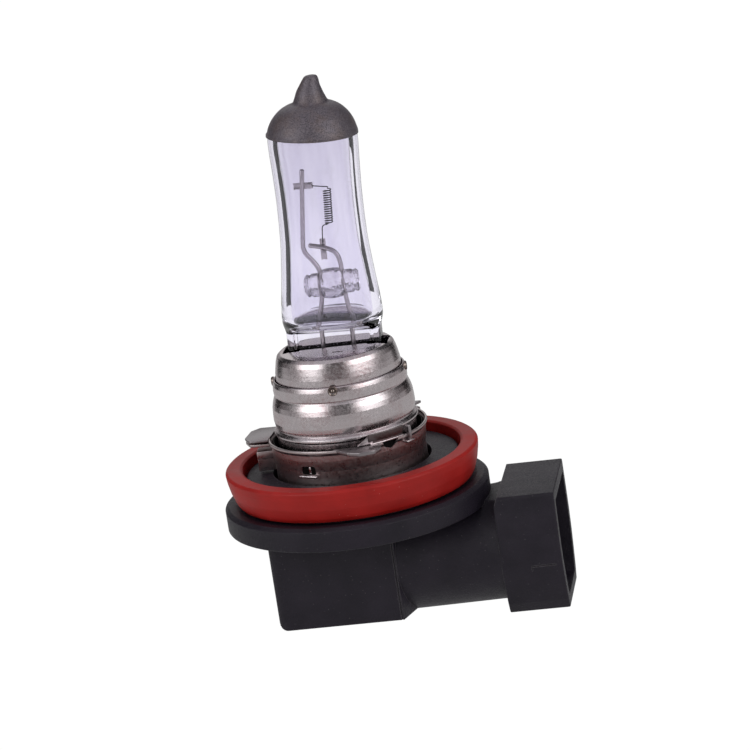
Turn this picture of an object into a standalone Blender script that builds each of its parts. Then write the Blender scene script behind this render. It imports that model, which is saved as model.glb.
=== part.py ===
"""Halogen headlight bulb with a right-angle plastic base, as an assembly of 20 pieces.

+Z runs up the bulb, +X points out of the connector hood, and the origin is the middle of the
flat bottom of the base, on the bulb's axis. Lengths in this script are millimetres, and MM
turns them into metres where a mesh is made. Heights of the metal pieces and the burner are
above the lip of the metal cap ring, which stands LIP_Z above the origin.
"""
import math

import bmesh
import bpy
from mathutils import Matrix, Vector

MM = 0.001
GAP = 0.1                       # clearance between two pieces that touch on the real bulb
GLASS_SIDES = 32                # facets round the glass, the metal and the plastic
METAL_SIDES = 44
BASE_SIDES = 56

# Driving dimensions of the plastic base.
LIP_Z = 22.3                    # height of the cap ring's lip
FLANGE_RADIUS = 15.88
FLANGE_BOTTOM = 12.05
FLANGE_TOP = 14.9
SPIGOT_RADIUS = 12.8
SPIGOT_TOP = 18.1
BLOCK_LEFT = -10.6
BLOCK_RIGHT = 4.5
BLOCK_END = 5.7                 # right end of the block between its two drawn-in faces
BLOCK_END_HALF_WIDTH = 3.2
BLOCK_HALF_WIDTH = 7.0
NECK_START = 4.4
NECK_HALF_WIDTH = 6.95
NECK_HALF_HEIGHT = 7.1
NECK_AXIS_Z = 6.4
HOOD_BACK = 16.9
HOOD_MOUTH = 24.1
HOOD_BOTTOM = -1.05
HOOD_TOP = 13.75
HOOD_HALF_WIDTH = 7.4           # at the bulge of its cheeks
HOOD_FOOT_HALF_WIDTH = 5.6
HOOD_WALL = 1.3
SOCKET_RADIUS = 5.6             # inner, round part of the socket, inside the neck
SOCKET_FLOOR_X = 8.8
WELL_RADIUS = 5.2               # hollow under the cap ring where leads and blades meet
WELL_FLOOR = 2.6

# Seal ring.
SEAL_BOTTOM = 15.1
SEAL_INNER_RADIUS = 13.1
SEAL_PROFILE = [(13.2, 19.2), (14.95, 19.15), (15.2, 18.9), (15.1, 18.0), (14.85, 16.8),
                (14.4, 15.6), (14.1, SEAL_BOTTOM), (SEAL_INNER_RADIUS, SEAL_BOTTOM),
                (SEAL_INNER_RADIUS, 19.1)]

# Contact blades.
BLADE_SPACING = 6.0
BLADE_THICKNESS = 0.8
BLADE_WIDTH = 2.8
BLADE_TIP_X = 22.2
BLADE_HEEL_X = 2.0
BLADE_TOP = 13.2

# Metal cap ring.
RING_RADIUS = 9.25
RING_WALL = 0.45
LIP_RADIUS = 9.55
RING_FOOT = 16.7
LUG_REACH = 12.5
LUG_TOP = 0.1
LUG_BOTTOM = -0.5
LUGS = [(176.5, 5.8), (58.0, 5.0)]                   # direction in degrees, width
FRONT_LUG = [(-0.3, -9.2), (0.2, -10.0), (1.5, -11.1), (3.1, -11.8), (4.8, -11.3), (5.4, -10.0),
             (5.1, -8.0)]                            # plan of the third lug, x and y
FLAP_ANGLES = (-68.0, -37.0)    # upright flap at the third lug
FLAP_RADII = (9.15, 9.5)
FLAP_TOP = 1.35
NOTCH_ANGLE = -50.0             # cut under the flap
NOTCH_WIDTH = 2.2
NOTCH_BOTTOM = -1.1
FOLD_ANGLE = -32.5              # upright fold at the flap's end
STRUT_ANGLE = 184.0
STRUT_REACH = 11.1
STRUT_WIDTH = 1.9
STRUT_DEPTH = 3.9
WINDOW_ANGLE = -115.0
WINDOW_WIDTH = 2.0
WINDOW_HEIGHT = 1.1
WINDOW_MIDDLE = -2.45

# Holder and focus sleeve, heights above the lip.
SHEET = 0.35                    # thickness of the holder's and the sleeve's sheet metal
HOLDER_RADIUS = 7.35
HOLDER_TOP = 10.35
SLEEVE_TOP = 7.15
BAND_RADIUS = 8.0
SLEEVE_RADIUS = 8.45
BEAD_RADIUS = 8.7
BEAD_HEIGHT = 0.95
SLOT_LENGTH = 12.9
SLOT_WIDTH = 3.8

# Burner: everything in and on the glass, on an axis that leans a little to +X.
BURNER_LEAN = 2.3
BURNER_X = -0.24                # where the burner's axis crosses the lip's plane
PINCH_BOTTOM = 2.0
PINCH_TOP = 12.0
PINCH_HALF_WIDTH = 5.62
WEB_HALF_THICKNESS = 1.35
RIB_HALF_THICKNESS = 1.75
BULGE_HEIGHT = 14.4
GLASS_WALL = 1.05
CAVITY_FLOOR = 13.9
CAP_EDGE = 35.2
CAP_THICKNESS = 0.12
POST_RADIUS = 0.275
FILAMENT_WIRE_RADIUS = 0.08
COIL_RADIUS = 0.5
COIL_TURNS = 17
COIL_BOTTOM = 24.95
COIL_TOP = 29.1
COIL_X = 0.9
LEAD_RADIUS = 0.35
FOIL_TOP = 9.0
FOIL_BOTTOM = 4.6
FOIL_WIDTH = 2.0
FOIL_THICKNESS = 0.1

# Glass outline above the pinch: height, radius.
GLASS_PROFILE = [(14.4, 5.96), (16.0, 5.84), (17.7, 5.65), (20.5, 5.36), (23.5, 5.12),
                 (28.0, 5.05), (31.5, 5.14), (34.5, 5.27)]
# Dome and exhaust tip: height, radius, sideways shift towards +X.
DOME_PROFILE = [(35.7, 5.22, 0.0), (36.7, 4.98, 0.0), (37.5, 4.58, 0.02), (38.1, 3.98, 0.05),
                (38.65, 3.2, 0.08), (39.05, 2.48, 0.12), (39.4, 1.98, 0.2), (39.95, 1.66, 0.21),
                (40.65, 1.38, 0.22), (41.3, 1.08, 0.33), (41.95, 0.74, 0.5), (42.3, 0.48, 0.62)]

# Routes of the two posts and the filament's legs: x and height above the lip.
LONG_POST = [(-1.42, 8.9), (-1.42, 12.4), (-1.41, 13.9), (-1.07, 15.8), (-0.82, 17.6),
             (-0.84, 18.8), (-1.1, 19.8), (-1.75, 20.75), (-2.3, 21.45), (-2.55, 22.1),
             (-2.53, 23.2), (-1.7, 31.5)]
SHORT_POST = [(2.2, 8.9), (2.2, 12.6), (2.17, 14.0), (1.93, 15.4), (1.73, 16.9), (1.6, 18.3),
              (1.66, 19.6), (1.55, 20.5), (1.3, 21.2), (0.85, 21.7), (0.1, 22.05), (-0.8, 22.3),
              (-1.8, 22.5)]

MATERIALS = {
    "glass": ((0.86, 0.85, 0.93, 1.0), 0.02, 0.0),
    "bridge_glass": ((0.93, 0.92, 0.96, 1.0), 0.05, 0.0),
    "cap_coating": ((0.09, 0.08, 0.08, 1.0), 0.42, 0.3),
    "tungsten": ((0.16, 0.15, 0.15, 1.0), 0.45, 0.9),
    "post_metal": ((0.42, 0.38, 0.38, 1.0), 0.35, 1.0),
    "foil": ((0.45, 0.45, 0.47, 1.0), 0.3, 1.0),
    "nickel": ((0.72, 0.67, 0.66, 1.0), 0.22, 1.0),
    "ring_metal": ((0.62, 0.58, 0.58, 1.0), 0.25, 1.0),
    "red_silicone": ((0.36, 0.02, 0.012, 1.0), 0.45, 0.0),
    "black_plastic": ((0.03, 0.027, 0.032, 1.0), 0.6, 0.0),
    "tinned_blade": ((0.7, 0.69, 0.66, 1.0), 0.3, 1.0),
}


def clear_scene():
    for obj in list(bpy.data.objects):
        bpy.data.objects.remove(obj, do_unlink=True)


def make_collection(name):
    collection = bpy.data.collections.new(name)
    bpy.context.scene.collection.children.link(collection)
    return collection


def make_material(name):
    color, roughness, metallic = MATERIALS[name]
    material = bpy.data.materials.new(name)
    material.use_nodes = True
    shader = material.node_tree.nodes["Principled BSDF"]
    shader.inputs["Base Color"].default_value = color
    shader.inputs["Roughness"].default_value = roughness
    shader.inputs["Metallic"].default_value = metallic
    return material


clear_scene()
PARTS = make_collection("headlight_bulb")
CUTTERS = make_collection("cutters")
FINISHES = {name: make_material(name) for name in MATERIALS}


def add_object(name, mesh, collection=PARTS):
    obj = bpy.data.objects.new(name, mesh)
    collection.objects.link(obj)
    return obj


def mesh_from_bmesh(name, bm):
    mesh = bpy.data.meshes.new(name)
    bm.to_mesh(mesh)
    bm.free()
    return mesh


def turned(name, profile, steps):
    """A closed solid of revolution: the profile (radius, z) runs down its outer side first.

    A profile that starts and ends on the axis stays as it is, and any other one is closed.
    """
    bm = bmesh.new()
    points = [bm.verts.new((r * MM, 0.0, z * MM)) for r, z in profile]
    for a, b in zip(points, points[1:]):
        bm.edges.new((a, b))
    if profile[0][0] > 0.0:
        bm.edges.new((points[-1], points[0]))
    obj = add_object(name, mesh_from_bmesh(name, bm), CUTTERS)
    screw = obj.modifiers.new("turn", "SCREW")
    screw.angle = math.tau
    screw.steps = steps
    screw.render_steps = steps
    screw.use_merge_vertices = True
    screw.merge_threshold = 0.000001
    return baked(obj)


def baked(obj, face_out=True):
    """The object with its modifiers turned into mesh."""
    bpy.context.view_layer.update()
    evaluated = obj.evaluated_get(bpy.context.evaluated_depsgraph_get())
    mesh = bpy.data.meshes.new_from_object(evaluated)
    bm = bmesh.new()
    bm.from_mesh(mesh)
    bmesh.ops.remove_doubles(bm, verts=bm.verts, dist=0.000001)
    if face_out:
        bmesh.ops.recalc_face_normals(bm, faces=bm.faces)
    bm.to_mesh(mesh)
    bm.free()
    result = add_object(obj.name + "_solid", mesh, CUTTERS)
    result.matrix_world = obj.matrix_world.copy()
    bpy.data.objects.remove(obj, do_unlink=True)
    return result


def box(name, low, high, bevel=0.0, segments=2):
    """A box between two corners, its edges rounded by the bevel."""
    low, high = Vector(low), Vector(high)
    bm = bmesh.new()
    bmesh.ops.create_cube(bm, size=1.0)
    bmesh.ops.scale(bm, vec=(high - low) * MM, verts=bm.verts)
    bmesh.ops.translate(bm, vec=(low + high) * 0.5 * MM, verts=bm.verts)
    if bevel:
        bmesh.ops.bevel(bm, geom=bm.edges, offset=bevel * MM, segments=segments, affect="EDGES",
                        profile=0.5)
    return add_object(name, mesh_from_bmesh(name, bm), CUTTERS)


def rod(name, start, end, radius, segments):
    """A cylinder from start to end."""
    start, end = Vector(start) * MM, Vector(end) * MM
    along = end - start
    bm = bmesh.new()
    bmesh.ops.create_cone(bm, cap_ends=True, segments=segments, radius1=radius * MM,
                          radius2=radius * MM, depth=along.length)
    turn = Vector((0.0, 0.0, 1.0)).rotation_difference(along).to_matrix().to_4x4()
    bm.transform(Matrix.Translation((start + end) * 0.5) @ turn)
    return add_object(name, mesh_from_bmesh(name, bm), CUTTERS)


def prism(name, outline, axis, low, high):
    """A flat outline, given in the plane across the axis, drawn out from low to high."""
    place = {"x": lambda p, q, t: (t, p, q), "y": lambda p, q, t: (p, t, q),
             "z": lambda p, q, t: (p, q, t)}[axis]
    bm = bmesh.new()
    face = bm.faces.new([bm.verts.new(Vector(place(p, q, low)) * MM) for p, q in outline])
    moved = bmesh.ops.extrude_face_region(bm, geom=[face])["geom"]
    step = Vector(place(0.0, 0.0, high - low)) * MM
    bmesh.ops.translate(bm, vec=step, verts=[v for v in moved if isinstance(v, bmesh.types.BMVert)])
    bmesh.ops.recalc_face_normals(bm, faces=bm.faces)
    return add_object(name, mesh_from_bmesh(name, bm), CUTTERS)


def rounded_outline(low, high, radius, corner_steps=4):
    """A rectangle with round corners, as a list of points."""
    points = []
    corners = [(high[0], high[1], 0), (low[0], high[1], 90), (low[0], low[1], 180),
               (high[0], low[1], 270)]
    for x, y, start in corners:
        mid_x = x - math.copysign(radius, x - (low[0] + high[0]) / 2)
        mid_y = y - math.copysign(radius, y - (low[1] + high[1]) / 2)
        for step in range(corner_steps + 1):
            angle = math.radians(start + 90.0 * step / corner_steps)
            points.append((mid_x + radius * math.cos(angle), mid_y + radius * math.sin(angle)))
    return points


def smooth_route(points, steps):
    """Points on a Catmull-Rom curve through the given ones."""
    points = [Vector(p) for p in points]
    padded = [2 * points[0] - points[1]] + points + [2 * points[-1] - points[-2]]
    route = []
    for a, b, c, d in zip(padded, padded[1:], padded[2:], padded[3:]):
        for step in range(steps):
            t = step / steps
            route.append(0.5 * (2 * b + (c - a) * t + (2 * a - 5 * b + 4 * c - d) * t ** 2
                                + (3 * b - a - 3 * c + d) * t ** 3))
    return route + [points[-1]]


def wire(name, route, radius):
    """A round wire along the route, as a mesh with its end caps welded."""
    curve = bpy.data.curves.new(name, "CURVE")
    curve.dimensions = "3D"
    curve.bevel_depth = radius * MM
    curve.bevel_resolution = 2
    curve.use_fill_caps = True
    curve.render_resolution_u = 0
    spline = curve.splines.new("POLY")
    spline.points.add(len(route) - 1)
    for point, place in zip(spline.points, route):
        point.co = (*(Vector(place) * MM), 1.0)
    return baked(add_object(name, curve, CUTTERS))


def combine(base, other, operation):
    """Join a second solid to the first, or cut it away."""
    modifier = base.modifiers.new(operation.lower(), "BOOLEAN")
    modifier.operation = operation
    modifier.solver = "EXACT"
    modifier.object = other
    result = baked(base, face_out=False)
    bpy.data.objects.remove(other, do_unlink=True)
    return result


def joined(base, others):
    for other in others:
        base = combine(base, other, "UNION")
    return base


def cut(base, others):
    for other in others:
        base = combine(base, other, "DIFFERENCE")
    return base


def finish(obj, name, finish_name, parent=None, sharp_degrees=35.0):
    """Name the solid as a part, give it its material and its parent, and shade it."""
    CUTTERS.objects.unlink(obj)
    PARTS.objects.link(obj)
    obj.name = name
    obj.data.name = name
    obj.data.materials.clear()
    obj.data.materials.append(FINISHES[finish_name])
    obj.data.shade_smooth()
    obj.data.set_sharp_from_angle(angle=math.radians(sharp_degrees))
    if parent:
        obj.parent = parent
    return obj


def make_burner_axis():
    """The empty on which the glass and all it holds lean, at the lip's centre."""
    axis = bpy.data.objects.new("burner_axis", None)
    PARTS.objects.link(axis)
    axis.location = (BURNER_X * MM, 0.0, LIP_Z * MM)
    axis.rotation_euler = (0.0, math.radians(BURNER_LEAN), 0.0)
    bpy.context.view_layer.update()
    return axis


# ---------------------------------------------------------------- burner, heights above the lip

def ring_section(height, radius, shift, flat, grow=0.0):
    """Points around the glass: round, or flattened into the pinch with its two side ribs."""
    points = []
    for step in range(GLASS_SIDES):
        angle = math.tau * step / GLASS_SIDES
        c, s = math.cos(angle), math.sin(angle)
        round_x, round_y = (radius + grow) * c, (radius + grow) * s
        flat_x = PINCH_HALF_WIDTH * math.copysign(abs(c) ** 0.45, c)
        rib = min(max((abs(flat_x) - 4.3) / 0.5, 0.0), 1.0)
        half = WEB_HALF_THICKNESS + (RIB_HALF_THICKNESS - WEB_HALF_THICKNESS) * rib
        flat_y = half * math.copysign(abs(s) ** 0.3, s) if abs(s) > 1e-9 else 0.0
        x = shift + round_x + (flat_x - round_x) * flat
        y = round_y + (flat_y - round_y) * flat
        points.append(Vector((x, y, height)) * MM)
    return points


def loft(name, sections):
    """A closed solid through rings that all have the same number of points, bottom to top."""
    bm = bmesh.new()
    rings = [[bm.verts.new(point) for point in section] for section in sections]
    count = len(rings[0])
    for low, high in zip(rings, rings[1:]):
        for i in range(count):
            j = (i + 1) % count
            bm.faces.new((low[i], low[j], high[j], high[i]))
    bm.faces.new(list(reversed(rings[0])))
    bm.faces.new(rings[-1])
    bmesh.ops.recalc_face_normals(bm, faces=bm.faces)
    return add_object(name, mesh_from_bmesh(name, bm), CUTTERS)


def smoothstep(t):
    t = min(max(t, 0.0), 1.0)
    return t * t * (3.0 - 2.0 * t)


def glass_outline():
    """Rings of the capsule's outer surface, from the pinch's bottom to the exhaust tip."""
    sections = [ring_section(PINCH_BOTTOM, 0.0, 0.0, 1.0)]
    steps = 6
    for step in range(steps):
        height = PINCH_TOP + (BULGE_HEIGHT - PINCH_TOP) * step / steps
        flat = 1.0 - smoothstep(step / steps)
        sections.append(ring_section(height, GLASS_PROFILE[0][1], 0.0, flat))
    for height, radius in GLASS_PROFILE:
        sections.append(ring_section(height, radius, 0.0, 0.0))
    for height, radius, shift in DOME_PROFILE:
        sections.append(ring_section(height, radius, shift, 0.0))
    return sections


def cavity_profile():
    """The hollow inside the capsule: (radius, height), from its top down to its floor."""
    profile = [(0.0, 39.3), (1.6, 39.1), (3.0, 38.4), (3.9, 37.2)]
    profile += [(radius - GLASS_WALL, height) for height, radius in reversed(GLASS_PROFILE)]
    profile += [(4.5, CAVITY_FLOOR + 0.3), (3.9, CAVITY_FLOOR + 0.1), (0.0, CAVITY_FLOOR)]
    return profile


def post_route(points, steps=3):
    return smooth_route([(x, 0.0, h) for x, h in points], steps)


def pinch_passages():
    """Cutters for what is sealed in the pinch: post ends, foils and outer leads."""
    cutters = []
    for x in (LONG_POST[0][0], SHORT_POST[0][0]):
        cutters.append(rod("post_hole", (x, 0, FOIL_TOP - 0.3), (x, 0, CAVITY_FLOOR + 1.0),
                           POST_RADIUS + 1.5 * GAP, 12))
        cutters.append(box("foil_slot", (x - FOIL_WIDTH / 2 - GAP, -FOIL_THICKNESS / 2 - GAP,
                                         FOIL_BOTTOM - GAP),
                           (x + FOIL_WIDTH / 2 + GAP, FOIL_THICKNESS / 2 + GAP,
                            FOIL_TOP + GAP)))
        cutters.append(rod("lead_hole", (x, 0, PINCH_BOTTOM - 1.0), (x, 0, FOIL_BOTTOM + 0.3),
                           LEAD_RADIUS + GAP, 12))
    return cutters



def make_capsule(axis):
    body = loft("capsule", glass_outline())
    body = cut(body, [turned("cavity", cavity_profile(), GLASS_SIDES)])
    body = cut(body, pinch_passages())
    finish(body, "glass_capsule", "glass", axis)


def make_blackout_cap(axis):
    """A thin shell over the dome: outer rings up, inner rings down, joined at the edge."""
    rings = [(CAP_EDGE, 5.25, 0.0)] + DOME_PROFILE
    outer = [ring_section(h + (CAP_THICKNESS if i > 1 else 0.0), r, s, 0.0, GAP / 2 + CAP_THICKNESS)
             for i, (h, r, s) in enumerate(rings)]
    inner = [ring_section(h + (GAP / 2 if i > 1 else 0.0), r, s, 0.0, GAP / 2)
             for i, (h, r, s) in enumerate(rings)]
    tip = DOME_PROFILE[-1]
    outer.append(ring_section(tip[0] + 0.3, 0.25, tip[2], 0.0))
    inner.append(ring_section(tip[0] + 0.1, 0.2, tip[2], 0.0))
    shell = loft("cap_shell", list(reversed(inner)) + outer)
    finish(shell, "blackout_cap", "cap_coating", axis)


def coil_route():
    """The filament: top leg from its clip, the turns, and the bottom leg to its clip."""
    route = [(-1.3, 0.0, 29.6), (0.2, 0.0, 29.45), (COIL_X, COIL_RADIUS, COIL_TOP + 0.3)]
    per_turn = 8
    count = COIL_TURNS * per_turn
    for step in range(count + 1):
        angle = math.pi / 2 - math.tau * step / per_turn
        height = COIL_TOP + (COIL_BOTTOM - COIL_TOP) * step / count
        route.append((COIL_X + COIL_RADIUS * math.cos(angle), COIL_RADIUS * math.sin(angle),
                      height))
    route += [(0.4, 0.35, 24.78), (0.0, 0.1, 24.68), (-0.12, 0.0, 24.3), (-0.24, 0.0, 22.7)]
    return route


def make_filament(axis):
    finish(wire("filament_wire", coil_route(), FILAMENT_WIRE_RADIUS), "filament", "tungsten", axis)


def make_posts(axis):
    finish(wire("long_post", post_route(LONG_POST), POST_RADIUS), "long_support_wire",
           "post_metal", axis)
    finish(wire("short_post", post_route(SHORT_POST), POST_RADIUS), "short_support_wire",
           "post_metal", axis)


def make_clips(axis):
    upper = box("upper_clip", (-3.0, -0.5, 29.25), (-0.68, 0.5, 30.0), 0.15, 1)
    upper = cut(upper, [wire("post_way", post_route(LONG_POST), POST_RADIUS + GAP / 2),
                        rod("leg_way", (-1.45, 0, 29.61), (0.0, 0, 29.47), 0.15, 10)])
    finish(upper, "upper_filament_clip", "post_metal", axis)
    lower = box("lower_clip", (-0.61, -0.5, 20.6), (0.11, 0.5, 23.15), 0.12, 1)
    lower = cut(lower, [wire("post_way", post_route(SHORT_POST), POST_RADIUS + GAP / 2),
                        rod("leg_way", (-0.25, 0, 22.55), (-0.16, 0, 23.7), 0.15, 10)])
    finish(lower, "lower_filament_clip", "post_metal", axis)


def make_bridge(axis):
    """A clear rod with a fat middle, laid across both posts and bored for them."""
    half = 3.25
    profile = [(0.0, half), (1.0, half), (1.35, half - 0.25), (1.43, half - 0.6), (1.43, 1.5),
               (1.62, 0.95), (1.75, 0.4)]
    profile += [(r, -z) for r, z in reversed(profile)]
    bridge = turned("bridge_rod", profile, 20)
    bridge.matrix_world = (Matrix.Translation(Vector((0.4, 0.0, 17.8)) * MM)
                           @ Matrix.Rotation(math.radians(86.5), 4, "Y"))
    bridge = cut(bridge, [wire("long_way", post_route(LONG_POST), POST_RADIUS + GAP),
                          wire("short_way", post_route(SHORT_POST), POST_RADIUS + GAP)])
    finish(bridge, "quartz_bridge", "bridge_glass", axis)


def make_foils(axis):
    for x, name in ((LONG_POST[0][0], "seal_foil_long"), (SHORT_POST[0][0], "seal_foil_short")):
        foil = box(name + "_sheet", (x - FOIL_WIDTH / 2, -FOIL_THICKNESS / 2, FOIL_BOTTOM + GAP),
                   (x + FOIL_WIDTH / 2, FOIL_THICKNESS / 2, FOIL_TOP - GAP))
        finish(foil, name, "foil", axis)


def lead_route(x, side):
    """From the foil's lower end out of the pinch and down beside its blade's heel."""
    blade_y = side * BLADE_SPACING / 2
    return smooth_route([(x, 0.0, FOIL_BOTTOM), (x, 0.0, 2.6), (x, 0.0, 1.0),
                         (x + 0.3, blade_y * 0.45, -2.5), (BLADE_HEEL_X + 0.8, blade_y, -6.2),
                         (BLADE_HEEL_X + 0.8, blade_y, BLADE_TOP - LIP_Z + 0.6)], 4)


def make_leads(axis):
    for x, side, name in ((LONG_POST[0][0], -1, "outer_lead_long"),
                          (SHORT_POST[0][0], 1, "outer_lead_short")):
        lead = wire(name + "_wire", lead_route(x, side), LEAD_RADIUS)
        finish(lead, name, "post_metal", axis)


def make_burner_clip(axis):
    """A U of spring sheet: a plate on each face of the pinch and a strip under it."""
    inner = RIB_HALF_THICKNESS + 0.15
    outer = inner + SHEET
    low, high = 1.1, 8.8
    half_length = 4.0
    tongue_low, tongue_high = 4.0, 7.8
    slit_inner, slit_outer = 1.2, 1.6
    outline = [(-outer, low), (outer, low), (outer, high), (inner, high), (inner, low + SHEET),
               (-inner, low + SHEET), (-inner, high), (-outer, high)]
    clip = prism("clip_u", outline, "x", -half_length, half_length)
    holes = [rod("lead_way", (x, 0, low - 1), (x, 0, low + 1), LEAD_RADIUS + 0.3, 16)
             for x in (LONG_POST[0][0], SHORT_POST[0][0])]
    for side in (-1, 1):
        for start, end in ((-slit_outer, -slit_inner), (slit_inner, slit_outer)):
            holes.append(box("tongue_slit", (start, side * outer - 0.8, tongue_low),
                             (end, side * outer + 0.8, tongue_high)))
    finish(cut(clip, holes), "burner_clip", "nickel", axis)


# ------------------------------------------------------------------------- metal holder and ring

def raised(profile):
    """A profile of (radius, height above the lip) moved up to the part's own heights."""
    return [(radius, height + LIP_Z) for radius, height in profile]


def make_holder():
    """The upper cup: a domed top with a slot for the pinch and a skirt inside the sleeve."""
    outer = [(5.6, HOLDER_TOP), (6.5, HOLDER_TOP - 0.2), (7.1, HOLDER_TOP - 0.65),
             (HOLDER_RADIUS, HOLDER_TOP - 1.3), (HOLDER_RADIUS + 0.1, SLEEVE_TOP + 0.1),
             (HOLDER_RADIUS, SLEEVE_TOP - 1.5)]
    inner = [(radius - SHEET, height) for radius, height in reversed(outer[3:])]
    inner += [(6.8, HOLDER_TOP - 0.95), (6.3, HOLDER_TOP - 0.6), (5.5, HOLDER_TOP - SHEET)]
    profile = [(0.0, HOLDER_TOP)] + outer + inner + [(0.0, HOLDER_TOP - SHEET)]
    cup = turned("holder_cup", raised(profile), METAL_SIDES)
    slot = rounded_outline((-SLOT_LENGTH / 2 + 0.3, -SLOT_WIDTH / 2),
                           (SLOT_LENGTH / 2 + 0.3, SLOT_WIDTH / 2), 0.9)
    slot = prism("pinch_slot", slot, "z", LIP_Z + HOLDER_TOP - 1.6, LIP_Z + HOLDER_TOP + 1.0)
    finish(cut(cup, [slot]), "burner_holder", "nickel")


def make_sleeve():
    """The band round the holder and the wider sleeve under it, with a rolled bead."""
    outer = [(BAND_RADIUS - 0.12, SLEEVE_TOP), (BAND_RADIUS, SLEEVE_TOP - 0.25),
             (BAND_RADIUS + 0.02, 5.7), (BAND_RADIUS - 0.12, 5.4), (BAND_RADIUS + 0.1, 5.1),
             (SLEEVE_RADIUS, 3.6), (SLEEVE_RADIUS + 0.02, 2.4), (SLEEVE_RADIUS - 0.05, 1.5),
             (BEAD_RADIUS, BEAD_HEIGHT + 0.1), (BEAD_RADIUS, BEAD_HEIGHT - 0.15),
             (SLEEVE_RADIUS - 0.15, BEAD_HEIGHT - 0.35), (SLEEVE_RADIUS - 0.15, -2.6)]
    inner = [(SLEEVE_RADIUS - 0.15 - SHEET, -2.6), (SLEEVE_RADIUS - 0.15 - SHEET, 2.0),
             (SLEEVE_RADIUS - 0.1 - SHEET, 3.4), (BAND_RADIUS - 0.15 - SHEET, 5.2),
             (BAND_RADIUS - 0.12 - SHEET, SLEEVE_TOP)]
    sleeve = turned("sleeve_turned", raised(outer + inner), METAL_SIDES)
    welds = []
    for degrees in (0.0, 90.0, 180.0, 270.0):
        across = Matrix.Rotation(math.radians(degrees), 3, "Z") @ Vector((1.0, 0.0, 0.0))
        up = Vector((0.0, 0.0, LIP_Z + 6.45))
        welds.append(rod("weld", across * (BAND_RADIUS - 0.2) + up,
                         across * (BAND_RADIUS + 0.14) + up, 0.5, 12))
    finish(joined(sleeve, welds), "focus_sleeve", "nickel")


def around_axis(obj, degrees):
    obj.matrix_world = Matrix.Rotation(math.radians(degrees), 4, "Z") @ obj.matrix_world
    bpy.context.view_layer.update()
    return obj


def plain_lug(width):
    """Plan of a lug that points along +X, its outer corners drawn in."""
    half = width / 2
    return [(LIP_RADIUS - 0.3, -half), (LUG_REACH - 1.1, -half), (LUG_REACH - 0.25, -half + 0.75),
            (LUG_REACH, 0.0), (LUG_REACH - 0.25, half - 0.75), (LUG_REACH - 1.1, half),
            (LIP_RADIUS - 0.3, half)]


def flap_plan(steps=6):
    """Plan of the upright flap: a strip of arc just outside the sleeve."""
    inner, outer = FLAP_RADII
    start, end = FLAP_ANGLES
    angles = [math.radians(start + (end - start) * i / steps) for i in range(steps + 1)]
    arc = [(outer * math.cos(a), outer * math.sin(a)) for a in angles]
    return arc + [(inner * math.cos(a), inner * math.sin(a)) for a in reversed(angles)]


def make_cap_ring():
    """The ring that stands in the base: lip, lugs, flap, window and strut."""
    top = LIP_Z
    inside = RING_RADIUS - RING_WALL
    profile = [(LIP_RADIUS, top), (LIP_RADIUS, top - 0.35), (RING_RADIUS, top - 0.75),
               (RING_RADIUS, top - 3.6), (RING_RADIUS + 0.2, top - 4.1),
               (RING_RADIUS + 0.2, RING_FOOT), (inside, RING_FOOT), (inside, top - 0.7),
               (LIP_RADIUS - 0.4, top)]
    pieces = [around_axis(prism("lug", plain_lug(width), "z", top + LUG_BOTTOM, top + LUG_TOP),
                          degrees) for degrees, width in LUGS]
    pieces.append(prism("front_lug", FRONT_LUG, "z", top + LUG_BOTTOM, top + LUG_TOP))
    pieces.append(prism("flap", flap_plan(), "z", top - 0.3, top + FLAP_TOP))
    fold = box("fold", (LIP_RADIUS - 0.45, -0.25, top - 0.9), (LIP_RADIUS + 0.5, 0.25, top + 1.1))
    pieces.append(around_axis(fold, FOLD_ANGLE))
    strut = box("strut", (RING_RADIUS - 0.2, -STRUT_WIDTH / 2, top - STRUT_DEPTH),
                (STRUT_REACH, STRUT_WIDTH / 2, top - 1.35))
    pieces.append(around_axis(strut, STRUT_ANGLE))
    ring = joined(turned("ring_turned", profile, METAL_SIDES), pieces)
    window = box("window", (RING_RADIUS - 1.5, -WINDOW_WIDTH / 2,
                            top + WINDOW_MIDDLE - WINDOW_HEIGHT / 2),
                 (RING_RADIUS + 1.5, WINDOW_WIDTH / 2, top + WINDOW_MIDDLE + WINDOW_HEIGHT / 2))
    notch = box("notch", (RING_RADIUS - 1.5, -NOTCH_WIDTH / 2, top + NOTCH_BOTTOM),
                (RING_RADIUS + 1.2, NOTCH_WIDTH / 2, top + 0.15))
    cuts = [around_axis(window, WINDOW_ANGLE), around_axis(notch, NOTCH_ANGLE)]
    finish(cut(ring, cuts), "cap_ring", "ring_metal")


# ----------------------------------------------------------------------- base, seal and contacts

def make_seal_ring():
    finish(turned("seal_turned", SEAL_PROFILE, BASE_SIDES), "seal_ring", "red_silicone")


def flange_and_spigot():
    chamfer = 0.35
    recess = 0.3
    profile = [(0.0, SPIGOT_TOP), (SPIGOT_RADIUS - 0.3, SPIGOT_TOP),
               (SPIGOT_RADIUS, SPIGOT_TOP - 0.3), (SPIGOT_RADIUS, FLANGE_TOP - recess),
               (FLANGE_RADIUS - 1.2, FLANGE_TOP), (FLANGE_RADIUS - chamfer, FLANGE_TOP),
               (FLANGE_RADIUS, FLANGE_TOP - chamfer), (FLANGE_RADIUS, FLANGE_BOTTOM + 0.15),
               (FLANGE_RADIUS - 0.15, FLANGE_BOTTOM), (0.0, FLANGE_BOTTOM)]
    return turned("flange", profile, BASE_SIDES)


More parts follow.
